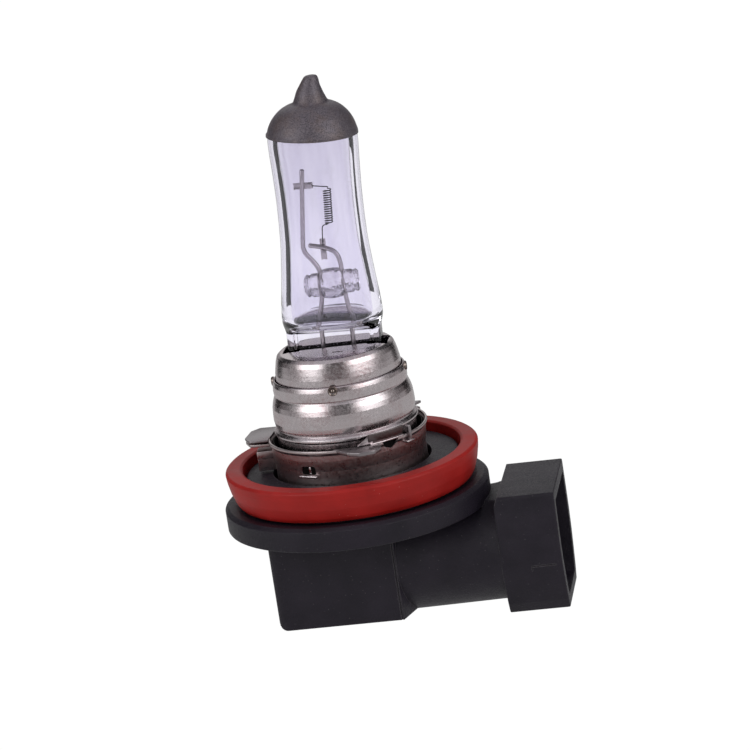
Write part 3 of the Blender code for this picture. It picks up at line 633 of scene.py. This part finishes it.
def base_cutters():
    well = [(0.0, SPIGOT_TOP + 1.0), (RING_RADIUS + 0.3, SPIGOT_TOP + 1.0),
            (RING_RADIUS + 0.3, RING_FOOT + LIP - 0.1), (WELL_RADIUS, RING_FOOT + LIP - 0.1),
            (WELL_RADIUS, WELL_FLOOR), (0.0, WELL_FLOOR)]
    mouth = prism(hood_outline(HOOD_WALL), "x", HOOD_BACK + 1.0, MOUTH_X + 1.0)
    turn = Matrix.Rotation(math.radians(90.0), 4, "Y")
    socket = lathe([(0.0, SOCKET_FLOOR_X), (SOCKET_RADIUS, SOCKET_FLOOR_X),
                    (SOCKET_RADIUS, HOOD_BACK + 2.0), (0.0, HOOD_BACK + 2.0)], 96)
    cutters = [helper(lathe(well, 96)), helper(mouth),
               helper(socket, Matrix.Translation((0.0, 0.0, NECK_Z * MM)) @ turn)]
    for side in (-1.0, 1.0):
        slot = soft_box((1.9, side * 3.0 - 0.5, NECK_Z - 1.5),
                        (SOCKET_FLOOR_X + 1.0, side * 3.0 + 0.5, NECK_Z + 1.5), 0.05, 1)
        cutters.append(helper(slot))
        groove = soft_box((BLOCK_RIGHT - 0.3, side * HALF_WIDTH - 0.12, -1.0),
                          (BLOCK_RIGHT - 0.12, side * HALF_WIDTH + 0.12, FLANGE_BOTTOM), 0.03, 1)
        cutters.append(helper(groove))
    return cutters


def make_base():
    hood = combined(hood_piece(), hood_cutters(), "DIFFERENCE")
    base = combined(flange_piece(), [block_piece(), neck_piece(), hood], "UNION")
    base = combined(base, base_cutters(), "DIFFERENCE")
    base.name = "moulded_base"
    placed(base, "connector_base")


def make_seal():
    low, high = SEAL_LOW.z, SEAL_HIGH.z
    inner = 13.1
    outline = [(inner, low, 0.15), (14.1, low, 0.25), (14.42, low + 0.5, 0.5),
               (14.85, low + 1.7, 1.0), (15.1, low + 2.9, 0.6), (SEAL_RADIUS, high - 0.3, 0.3),
               (14.9, high - 0.05, 0.2), (13.4, high, 0.3), (inner, high - 0.2, 0.15)]
    seal = made("silicone_seal", lathe(rounded(outline, steps=6), 192), RED)
    placed(seal, "seal_ring", "seal")


# ------------------------------------------------------------------------- metal cap ring

def add_ring_piece(name, bm, material, place=UPRIGHT):
    placed(made(name, bm, material, place, 40.0), "cap_ring")


def leaf(outline, bottom, top):
    return bevelled(prism(rounded(outline, steps=5), "z", bottom, top), 0.07, 3, 50.0)


def folded_lug(name, degrees, width, tip=0.0):
    """A lug of sheet folded double, its lower leaf the longer; the tip shortens both leaves."""
    start = RING_RADIUS - 0.1
    half = width / 2
    upper = [(start, -half, 0.0), (11.35, -half, 0.3), (12.25 - tip, -half + 1.2, 0.4),
             (12.35 - tip, half - 1.6, 0.5), (11.6, half, 0.8), (start, half, 0.0)]
    lower = [(start, -half - 0.3, 0.0), (12.1 - tip, -half - 0.3, 0.4),
             (12.48 - tip, -half + 0.5, 0.4), (12.45 - tip, half - 2.2, 0.4),
             (11.6, half - 0.6, 0.4), (start, half - 0.4, 0.0)]
    place = UPRIGHT @ turned_about(degrees)
    # the upper leaf takes the darker copy of the plate: painted shade
    add_ring_piece(name + "_upper", leaf(upper, -0.18, 0.1), LUG_SHADE_PLATE, place)
    add_ring_piece(name + "_lower", leaf(lower, -0.85, -0.5), RING_PLATE, place)


def arc_strip(start, end, inner, outer, steps=24):
    """Plan of a strip of arc between two angles in degrees."""
    angles = [math.radians(start + (end - start) * i / steps) for i in range(steps + 1)]
    strip = [(outer * math.cos(a), outer * math.sin(a)) for a in angles]
    return strip + [(inner * math.cos(a), inner * math.sin(a)) for a in reversed(angles)]


def front_lug():
    """The lanced lug in front: a flat plate, an upright flap behind it and a fold at its end."""
    plan = [(-0.5, -9.1, 0.0), (-0.3, -9.25, 0.2), (0.3, -9.9, 0.3), (1.45, -11.0, 0.25),
            (3.0, -11.75, 1.0), (4.75, -11.25, 0.8), (5.35, -9.95, 0.3), (5.1, -8.3, 0.0),
            (2.4, -9.05, 0.0)]
    # the flat plate takes the darker copy of the plate: painted shade
    add_ring_piece("front_lug_plate", leaf(plan, -0.42, 0.04), LUG_SHADE_PLATE)
    # the flap takes the darkest copy of the plate: painted shade
    flap = bevelled(prism(arc_strip(-67.0, -38.0, 9.15, 9.4), "z", 0.0, FLAP_HEIGHT), 0.1, 3, 50.0)
    for vert in flap.verts:
        vert.co.xy *= 1.0 + FLAP_FLARE * vert.co.z / (FLAP_HEIGHT * MM)
    add_ring_piece("front_flap", flap, SHADED_PLATE)
    # the flap's edge and its point take the lighter nickel: painted highlight
    edge = prism(arc_strip(-66.0, -38.0, 9.3, 9.6), "z", -0.06, 0.14)
    add_ring_piece("front_flap_edge", bevelled(edge, 0.06, 2, 50.0), NICKEL)
    point = bevelled(prism([(-1.0, 0.0), (0.9, 0.0), (0.9, 1.1), (0.2, 0.75)], "y", -0.16, 0.16),
                     0.07, 2)
    slant = UPRIGHT @ turned_about(-69.0) @ Matrix.Translation((9.3 * MM, 0.0, 0.1 * MM))
    add_ring_piece("front_flap_point", point, NICKEL,
                   slant @ Matrix.Rotation(math.radians(90.0), 4, "Z"))
    turn = UPRIGHT @ turned_about(FOLD_ANGLE)
    fold = soft_box((9.2, -0.2, -0.85), (9.95, 0.2, 1.02), 0.14)
    foot = soft_box((9.2, -0.75, -1.0), (10.0, 0.5, -0.7), 0.12)
    # the fold takes the darker copy of the plate, painted shade, and its foot the lighter nickel,
    # painted highlight
    add_ring_piece("front_fold", fold, LUG_SHADE_PLATE, turn)
    add_ring_piece("front_fold_foot", foot, NICKEL, turn)


def ring_body():
    foot = RING_FOOT
    outline = [(LIP_RADIUS, 0.0, 0.12), (LIP_RADIUS, -0.32, 0.15), (RING_RADIUS + 0.05, -0.6, 0.2),
               (RING_RADIUS, -1.3, 0.6), (RING_RADIUS - 0.17, -2.6, 0.8),
               (RING_RADIUS - 0.2, -4.2, 0.5), (RING_RADIUS - 0.12, foot, 0.1),
               (RING_RADIUS - 0.35, foot, 0.1),
               (RING_RADIUS - 0.35, -0.75, 0.1), (LIP_RADIUS - 0.28, -0.3, 0.1),
               (LIP_RADIUS - 0.28, 0.0, 0.12)]
    return helper(lathe(rounded(outline), 192), UPRIGHT)


def make_cap_ring():
    folded_lug("left_lug", LEFT_LUG_ANGLE, 5.7)
    folded_lug("far_lug", FAR_LUG_ANGLE, 5.0, 1.6)
    front_lug()
    strut = soft_box((RING_RADIUS - 0.2, -0.95, -3.85), (11.1, 0.95, -2.2), 0.1)
    foot = soft_box((RING_RADIUS - 0.2, -1.0, -2.35), (11.1, 1.0, -1.4), 0.1)
    turn = UPRIGHT @ turned_about(STRUT_ANGLE)
    ring = combined(ring_body(), [helper(strut, turn), helper(foot, turn)], "UNION")
    window = soft_box((RING_RADIUS - 1.5, -0.95, -2.95), (RING_RADIUS + 1.5, 0.95, -1.95), 0.2, 3)
    notch = prism(rounded([(-1.15, 0.05, 0.0), (-0.75, -0.75, 0.4), (0.1, -1.08, 0.4),
                           (0.8, -0.7, 0.4), (1.15, 0.05, 0.0)], steps=6), "x",
                  RING_RADIUS - 1.5, RING_RADIUS + 1.2)
    ring = combined(ring, [helper(window, UPRIGHT @ turned_about(WINDOW_ANGLE)),
                           helper(notch, UPRIGHT @ turned_about(NOTCH_ANGLE))], "DIFFERENCE")
    ring.name = "flanged_ring"
    ring.data.materials.clear()
    ring.data.materials.append(RING_PLATE)
    placed(ring, "cap_ring")


def make_liner():
    """A near-black wall in the gap between ring and sleeve: painted shade."""
    outline = [(RING_RADIUS - 0.3, -0.35), (RING_RADIUS - 0.3, -3.0), (8.35, -3.0), (8.35, -2.9),
               (RING_RADIUS - 0.38, -2.9), (RING_RADIUS - 0.38, -0.35)]
    liner = made("shadow_liner", lathe(outline, 128), GAP_SHADE, UPRIGHT)
    placed(liner, "cap_ring")


def make_window_tongue():
    """The bent edge under the snap window, and the tongue inside it; both take the lighter nickel,
    which paints a highlight on the edge.
    """
    lip = soft_box((RING_RADIUS - 0.1, -1.25, -3.3), (RING_RADIUS + 0.22, 1.25, -3.0), 0.12, 4)
    tongue = soft_box((RING_RADIUS - 0.45, 0.0, -2.9), (RING_RADIUS - 0.2, 0.3, -2.0), 0.08, 3)
    turn = UPRIGHT @ turned_about(WINDOW_ANGLE)
    for name, bm in (("window_lip", lip), ("window_tongue", tongue)):
        placed(made(name, bm, NICKEL, turn), "cap_ring")


# ------------------------------------------------------------------------ holder and sleeve

def make_holder():
    top = HOLDER_TOP
    outer = [(5.6, top, 0.3), (6.55, top - 0.16, 0.4), (6.98, top - 0.5, 0.3),
             (7.17, top - 1.05, 0.5), (7.34, 8.5, 0.8), (7.45, 7.9, 0.6), (7.5, 7.4, 0.3),
             (7.5, 5.7, 0.1)]
    inner = [(r - SHEET, z - 0.05, f) for r, z, f in reversed(outer[3:])]
    inner += [(6.75, top - 0.7, 0.2), (6.3, top - 0.45, 0.3), (5.5, top - SHEET, 0.3)]
    profile = [(0.0, top, 0)] + outer + inner + [(0.0, top - SHEET, 0)]
    cup = helper(lathe(rounded(profile, steps=5), 160), UPRIGHT)
    slot = [(-6.05, -1.9, 0.5), (-4.0, -1.9, 0.2), (-3.9, -1.45, 0.2), (4.1, -1.45, 0.2),
            (4.2, -1.9, 0.2), (6.5, -1.9, 0.5), (6.5, 1.9, 0.5), (4.2, 1.9, 0.2),
            (4.1, 1.45, 0.2), (-3.9, 1.45, 0.2), (-4.0, 1.9, 0.2), (-6.05, 1.9, 0.5)]
    slit = [(0.3, -4.1, 0.1), (1.6, -4.1, 0.1), (1.6, -3.75, 0.1), (0.3, -3.75, 0.1)]
    cutters = [helper(prism(rounded(o, steps=6), "z", top - 1.6, top + 1.0), UPRIGHT)
               for o in (slot, slit)]
    cup = combined(cup, cutters, "DIFFERENCE")
    cup.name = "slotted_cup"
    cup.data.materials.clear()
    cup.data.materials.append(NICKEL)
    placed(cup, "burner_holder")


def make_sleeve():
    outer = [(7.72, BAND_TOP, 0.05), (7.86, BAND_TOP - 0.12, 0.15), (BAND_RADIUS - 0.03, 6.55, 0.5),
             (BAND_RADIUS + 0.02, 5.9, 0.4), (BAND_RADIUS, 5.45, 0.2), (BAND_RADIUS - 0.12, 5.3, 0.1),
             (BAND_RADIUS + 0.05, 5.0, 0.2), (8.25, 4.45, 0.5), (8.39, 3.85, 0.7),
             (SLEEVE_RADIUS, 3.1, 0.8), (SLEEVE_RADIUS + 0.02, 2.3, 0.5), (8.36, 1.7, 0.4),
             (8.2, 1.32, 0.1), (8.5, 1.12, 0.12), (8.62, 0.95, 0.1), (8.6, 0.72, 0.1),
             (8.3, 0.5, 0.1), (8.3, -2.55, 0.1)]
    inner = [(7.95, -2.55, 0.1), (7.95, 2.0, 0.3), (8.0, 3.4, 0.5), (7.65, 5.2, 0.2),
             (7.65, BAND_TOP - 0.05, 0.02)]
    sleeve = made("focusing_sleeve", lathe(rounded(outer + inner, steps=5), 192), NICKEL, UPRIGHT)
    placed(sleeve, "focus_sleeve")


def weld_spot(degrees):
    """A laser weld on the band's upper edge: a raised burnt rim round a bright bead."""
    profile = [(0.0, 0.12), (0.12, 0.11), (0.22, 0.02), (0.3, -0.03), (0.38, 0.08), (0.47, 0.13),
               (0.56, 0.04), (0.6, -0.15), (0.0, -0.15)]
    tilt = Matrix.Rotation(math.radians(90.0), 4, "Y")
    spot = Matrix.Translation(((BAND_RADIUS - 0.02) * MM, 0.0, WELD_HEIGHT * MM))
    return lathe(profile, 32), UPRIGHT @ turned_about(degrees) @ spot @ tilt


def make_welds():
    for index, degrees in enumerate(WELD_ANGLES):
        bm, place = weld_spot(degrees)
        placed(made(f"weld_{index}", bm, WELD, place, 60.0), "focus_sleeve")


# -------------------------------------------------------------------------------- the burner

def glass_ring(height, radius, shift, flat, grow=0.0, segments=128):
    """Points round the capsule: round, or flattened into the pinch with its two ribs."""
    points = []
    for step in range(segments):
        angle = math.tau * step / segments
        c, s = math.cos(angle), math.sin(angle)
        round_x, round_y = (radius + grow) * c, (radius + grow) * s
        flat_x = PINCH_HALF_WIDTH * math.copysign(abs(c) ** 0.5, c)
        rib = smoothstep((abs(flat_x) - 4.35) / 0.45)
        half = WEB_HALF + (RIB_HALF - WEB_HALF) * rib
        flat_y = half * math.copysign(abs(s) ** 0.3, s) if abs(s) > 1e-9 else 0.0
        points.append((shift + round_x + (flat_x - round_x) * flat,
                       round_y + (flat_y - round_y) * flat, height))
    return points


def capsule_rings():
    rings = [glass_ring(z, 0.0, 0.0, 1.0) for z in (2.05, 2.2, 6.0, 9.5, 11.5, PINCH_TOP)]
    steps = 16
    for step in range(1, steps):
        height = PINCH_TOP + (BULGE_HEIGHT - PINCH_TOP) * step / steps
        flat = 1.0 - smoothstep(step / steps)
        rings.append(glass_ring(height, GLASS_PROFILE[0][1], 0.0, flat))
    outline = [(z, r, 0.0) for z, r in GLASS_PROFILE] + DOME_PROFILE
    rings += [glass_ring(z, r, s, 0.0) for z, r, s in spread(outline, 4)]
    return rings


def cavity_rings():
    """The hollow: a floor that bulges up above the pinch, then the inner wall up to the dome."""
    floor = [(14.4, 0.3), (14.35, 1.6), (14.15, 3.0), (13.85, 4.2), (13.75, 4.6), (14.1, 4.82)]
    wall = [(z, r - GLASS_WALL) for z, r in GLASS_PROFILE[2:]]
    top = [(36.2, 4.0), (37.3, 3.4), (38.1, 2.3), (38.4, 0.6)]
    return [glass_ring(z, max(r, 0.05), 0.0, 0.0) for z, r, _ in spread(floor + wall + top, 4)]


def make_capsule():
    outer = loft(capsule_rings())
    bmesh.ops.recalc_face_normals(outer, faces=outer.faces)
    hollow = loft(cavity_rings())
    bmesh.ops.recalc_face_normals(hollow, faces=hollow.faces)
    bmesh.ops.reverse_faces(hollow, faces=hollow.faces)
    mesh = bpy.data.meshes.new("glass_envelope")
    hollow.to_mesh(mesh)
    outer.from_mesh(mesh)
    outer.to_mesh(mesh)
    outer.free()
    hollow.free()
    mesh.transform(BURNER)
    mesh.materials.append(GLASS)
    mesh.shade_smooth()
    mesh.set_sharp_from_angle(angle=math.radians(50.0))
    obj = bpy.data.objects.new("glass_envelope", mesh)
    bpy.context.scene.collection.objects.link(obj)
    placed(obj, "glass_capsule")


def make_cap():
    """The coating: a thin shell over the dome, its lower edge a little off level."""
    outline = spread([(35.15, 5.27, 0.0)] + DOME_PROFILE + [(42.42, 0.25, 0.66)], 4)

    def rings(gap, lift):
        result = []
        for z, r, s in outline:
            low = smoothstep((36.4 - z) / 1.2)
            ring = glass_ring(z + lift * smoothstep((z - 37.0) / 2.0), r, s, 0.0, gap)
            result.append([(x, y, h + low * (0.5 - 0.055 * x)) for x, y, h in ring])
        return result

    shell = loft(list(reversed(rings(0.03, 0.03))) + rings(0.12, 0.14))
    placed(made("blackout_coating", shell, COATING, BURNER, 50.0), "blackout_cap")


def make_bridge():
    half = 3.22
    end = [(0.0, half, 0), (1.05, half, 0.4), (1.36, half - 0.3, 0.15), (1.22, half - 0.62, 0.15),
           (1.4, half - 0.9, 0.2), (1.38, 1.5, 0.15), (1.7, 0.95, 0.25), (1.8, 0.3, 0.4)]
    profile = end + [(r, -z, f) for r, z, f in reversed(end)]
    tilt = Matrix.Rotation(math.radians(86.5), 4, "Y")
    place = BURNER @ Matrix.Translation((0.4 * MM, 0.0, 17.8 * MM)) @ tilt
    bridge = made("bridge_bead", lathe(rounded(profile, steps=5), 64), BRIDGE, place, 40.0)
    placed(bridge, "quartz_bridge")


def make_posts():
    for route, node in ((LONG_POST, "long_support_wire"), (SHORT_POST, "short_support_wire")):
        path = smooth_route([(x, 0.0, z) for x, z in route], 8)
        post = made(node + "_post", tube(path, POST_RADIUS), POST_METAL, BURNER, 50.0)
        placed(post, node)


def coil_path():
    """Top leg, the turns, and the bottom leg, as one wire."""
    leg = smooth_route([(-1.5, 0.2, 29.62), (-0.4, 0.2, 29.52), (0.6, 0.3, 29.36),
                        (1.05, 0.4, 29.3)], 5)
    turns = []
    per_turn = 18
    count = COIL_TURNS * per_turn
    low, high = Vector(COIL_LOW), Vector(COIL_HIGH)
    for step in range(count + 1):
        angle = math.pi / 2 - math.tau * step / per_turn
        middle = high.lerp(low, step / count)
        turns.append(Vector((middle.x + COIL_RADIUS * math.cos(angle),
                             COIL_RADIUS * math.sin(angle), middle.y)))
    tail = smooth_route([(0.5, 0.35, 24.8), (0.1, 0.2, 24.75), (-0.06, 0.05, 24.5),
                         (-0.1, 0.0, 24.0), (-0.2, 0.0, 22.7)], 5)
    return leg + turns + tail


def make_filament():
    coil = made("filament_coil", tube(coil_path(), FILAMENT_WIRE, 8), TUNGSTEN, BURNER, 60.0)
    placed(coil, "filament")


def clip_channel(length, height, depth, wall=0.15):
    """A folded strip: two leaves joined by a fold at the back, lying along X."""
    y0, y1 = 0.0, depth
    z = height / 2
    outline = [(y0, -z, 0.06), (y0, -z + wall, 0.05), (y1 - wall, -z + wall, 0.05),
               (y1 - wall, z - wall, 0.05), (y0, z - wall, 0.05), (y0, z, 0.06), (y1, z, 0.08),
               (y1, -z, 0.08)]
    return prism(rounded(outline, steps=3), "x", -length / 2, length / 2)


def make_clips():
    turn = Matrix.Rotation(math.radians(90.0), 4, "Y")
    upper = BURNER @ Matrix.Translation(Vector((-1.84, 0.12, 29.62)) * MM)
    lower = BURNER @ Matrix.Translation(Vector((-0.25, 0.12, 21.88)) * MM) @ turn
    for node, place, length, height in (("upper_filament_clip", upper, 2.3, 0.72),
                                        ("lower_filament_clip", lower, 2.5, 0.68)):
        body = made(node + "_fold", clip_channel(length, height, 0.34), POST_METAL, place, 40.0)
        placed(body, node)
        crimp = soft_box((0.1, -0.02, -height / 2 + 0.04), (length / 2 - 0.05, 0.3, height / 2 - 0.04),
                         0.06, 2)
        placed(made(node + "_crimp", crimp, POST_METAL, place, 40.0), node)


def keep_cad_nodes():
    """Pieces hidden in the pinch, the holder and the base keep their CAD shape."""
    finishes = {"seal_foil_long": FOIL, "seal_foil_short": FOIL, "outer_lead_long": LEAD_METAL,
                "outer_lead_short": LEAD_METAL, "burner_clip": SPRING,
                "contact_blade_long": BLADE_TIN, "contact_blade_short": BLADE_TIN}
    for node, material in finishes.items():
        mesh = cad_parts[node].data
        mesh.materials.clear()
        mesh.materials.append(material)


# ------------------------------------------------------------------------- stage and camera

def emitting(name, seen, reflected):
    """A surface that shines with one strength to the camera and another in reflections."""
    material = bpy.data.materials.new(name)
    material.use_nodes = True
    nodes, links = material.node_tree.nodes, material.node_tree.links
    nodes.clear()
    path = nodes.new("ShaderNodeLightPath")
    direct = nodes.new("ShaderNodeMath")
    direct.operation = "MAXIMUM"
    links.new(path.outputs["Is Camera Ray"], direct.inputs[0])
    links.new(path.outputs["Is Transmission Ray"], direct.inputs[1])
    strength = nodes.new("ShaderNodeMapRange")
    strength.inputs["To Min"].default_value = reflected
    strength.inputs["To Max"].default_value = seen
    links.new(direct.outputs[0], strength.inputs["Value"])
    shine = nodes.new("ShaderNodeEmission")
    links.new(strength.outputs["Result"], shine.inputs["Strength"])
    links.new(shine.outputs[0], nodes.new("ShaderNodeOutputMaterial").inputs["Surface"])
    return material


def stage_plane(name, corners, material):
    mesh = bpy.data.meshes.new(name)
    mesh.from_pydata([Vector(c) * MM for c in corners], [], [(0, 1, 2, 3)])
    mesh.materials.append(material)
    obj = bpy.data.objects.new(name, mesh)
    bpy.context.scene.collection.objects.link(obj)
    return obj


def make_floor():
    size = 6000.0
    z = CAD_BOX[0].z / MM - 0.02
    stage_plane("floor", [(-size, -size, z), (size, -size, z), (size, size, z), (-size, size, z)],
                emitting("floor_white", 1.02, 0.5))


def make_flags():
    """Two black cards beside the backdrop, seen only in reflections and through glass."""
    flag_black = emitting("flag_black", 0.002, 0.01)
    turn = Matrix.Rotation(CAMERA_AZIMUTH, 3, "Z")
    near, far, away, top = 100.0, 230.0, 150.0, 320.0
    for side in (-1.0, 1.0):
        corners = [(side * near, away, HOOD_BOTTOM), (side * far, away, HOOD_BOTTOM),
                   (side * far, away, top), (side * near, away, top)]
        card = stage_plane(f"flag_{'left' if side < 0 else 'right'}",
                           [turn @ Vector(c) for c in corners], flag_black)
        card.visible_camera = False
        card.visible_diffuse = False
        card.visible_shadow = False


def make_world():
    """Soft boxes left and right of the camera, dark between and beside them, white behind."""
    world = bpy.data.worlds.new("studio")
    bpy.context.scene.world = world
    world.use_nodes = True
    nodes, links = world.node_tree.nodes, world.node_tree.links
    nodes.clear()
    turn = nodes.new("ShaderNodeMapping")
    turn.vector_type = "POINT"
    turn.inputs["Rotation"].default_value = (0.0, 0.0, math.pi / 2 - CAMERA_AZIMUTH)
    links.new(nodes.new("ShaderNodeTexCoord").outputs["Generated"], turn.inputs["Vector"])
    around = nodes.new("ShaderNodeTexGradient")
    around.gradient_type = "RADIAL"
    links.new(turn.outputs["Vector"], around.inputs["Vector"])
    stops = [(-180, 0.74), (-160, 0.74), (-152, 0.03), (-112, 0.03), (-102, 0.25), (-86, 0.35),
             (-66, 3.4), (-46, 3.4), (-24, 0.1), (14, 0.08), (36, 3.2), (60, 3.2), (84, 0.4),
             (102, 0.3), (110, 0.03), (152, 0.03), (160, 0.74), (180, 0.74)]
    ring = nodes.new("ShaderNodeValToRGB")
    while len(ring.color_ramp.elements) < len(stops):
        ring.color_ramp.elements.new(0.5)
    for element, (degrees, value) in zip(ring.color_ramp.elements, stops):
        element.position = (degrees + 180.0) / 360.0
        element.color = (value, value, value, 1.0)
    links.new(around.outputs["Fac"], ring.inputs["Fac"])
    split = nodes.new("ShaderNodeSeparateXYZ")
    links.new(turn.outputs["Vector"], split.inputs[0])
    high = nodes.new("ShaderNodeMapRange")
    high.interpolation_type = "SMOOTHSTEP"
    high.inputs["From Min"].default_value = 0.45
    high.inputs["From Max"].default_value = 0.75
    links.new(split.outputs["Z"], high.inputs["Value"])
    low = nodes.new("ShaderNodeMapRange")
    low.interpolation_type = "SMOOTHSTEP"
    low.inputs["From Max"].default_value = 0.32
    links.new(split.outputs["Z"], low.inputs["Value"])
    horizon = nodes.new("ShaderNodeMix")
    horizon.data_type = "RGBA"
    horizon.inputs["A"].default_value = (0.2, 0.185, 0.19, 1.0)
    links.new(low.outputs["Result"], horizon.inputs["Factor"])
    links.new(ring.outputs["Color"], horizon.inputs["B"])
    mix = nodes.new("ShaderNodeMix")
    mix.data_type = "RGBA"
    mix.inputs["B"].default_value = (0.55, 0.54, 0.57, 1.0)
    links.new(high.outputs["Result"], mix.inputs["Factor"])
    links.new(horizon.outputs["Result"], mix.inputs["A"])
    path = nodes.new("ShaderNodeLightPath")
    seen = nodes.new("ShaderNodeMix")
    seen.data_type = "RGBA"
    seen.inputs["B"].default_value = (1.0, 1.0, 1.0, 1.0)
    links.new(path.outputs["Is Camera Ray"], seen.inputs["Factor"])
    links.new(mix.outputs["Result"], seen.inputs["A"])
    background = nodes.new("ShaderNodeBackground")
    links.new(seen.outputs["Result"], background.inputs["Color"])
    links.new(background.outputs[0], nodes.new("ShaderNodeOutputWorld").inputs["Surface"])


def make_camera():
    right = Vector((math.cos(CAMERA_AZIMUTH), math.sin(CAMERA_AZIMUTH), 0.0))
    towards = Vector((math.sin(CAMERA_AZIMUTH), -math.cos(CAMERA_AZIMUTH), 0.0))
    back = towards * math.cos(CAMERA_ELEVATION) + Vector((0, 0, math.sin(CAMERA_ELEVATION)))
    up = back.cross(right)
    aim = Vector((0.0, 0.0, LIP)) + right * AIM_RIGHT + Vector((0.0, 0.0, AIM_UP))
    side = right * math.cos(CAMERA_ROLL) - up * math.sin(CAMERA_ROLL)
    top = up * math.cos(CAMERA_ROLL) + right * math.sin(CAMERA_ROLL)
    data = bpy.data.cameras.new("camera")
    data.lens = CAMERA_LENS
    data.sensor_width = 36.0
    data.clip_start = 0.01
    data.clip_end = 20.0
    camera = bpy.data.objects.new("camera", data)
    bpy.context.scene.collection.objects.link(camera)
    spin = Matrix((side, top, back)).transposed().to_4x4()
    camera.matrix_world = Matrix.Translation((aim + back * CAMERA_DISTANCE) * MM) @ spin
    bpy.context.scene.camera = camera


def set_picture():
    scene = bpy.context.scene
    scene.view_settings.view_transform = "Standard"
    scene.view_settings.look = "None"
    scene.cycles.max_bounces = 16
    scene.cycles.transmission_bounces = 14
    scene.cycles.glossy_bounces = 6


make_base()
make_seal()
make_cap_ring()
make_window_tongue()
make_liner()
make_sleeve()
make_welds()
make_holder()
make_capsule()
make_cap()
make_bridge()
make_posts()
make_clips()
make_filament()
keep_cad_nodes()
make_floor()
make_flags()
make_world()
make_camera()
set_picture()
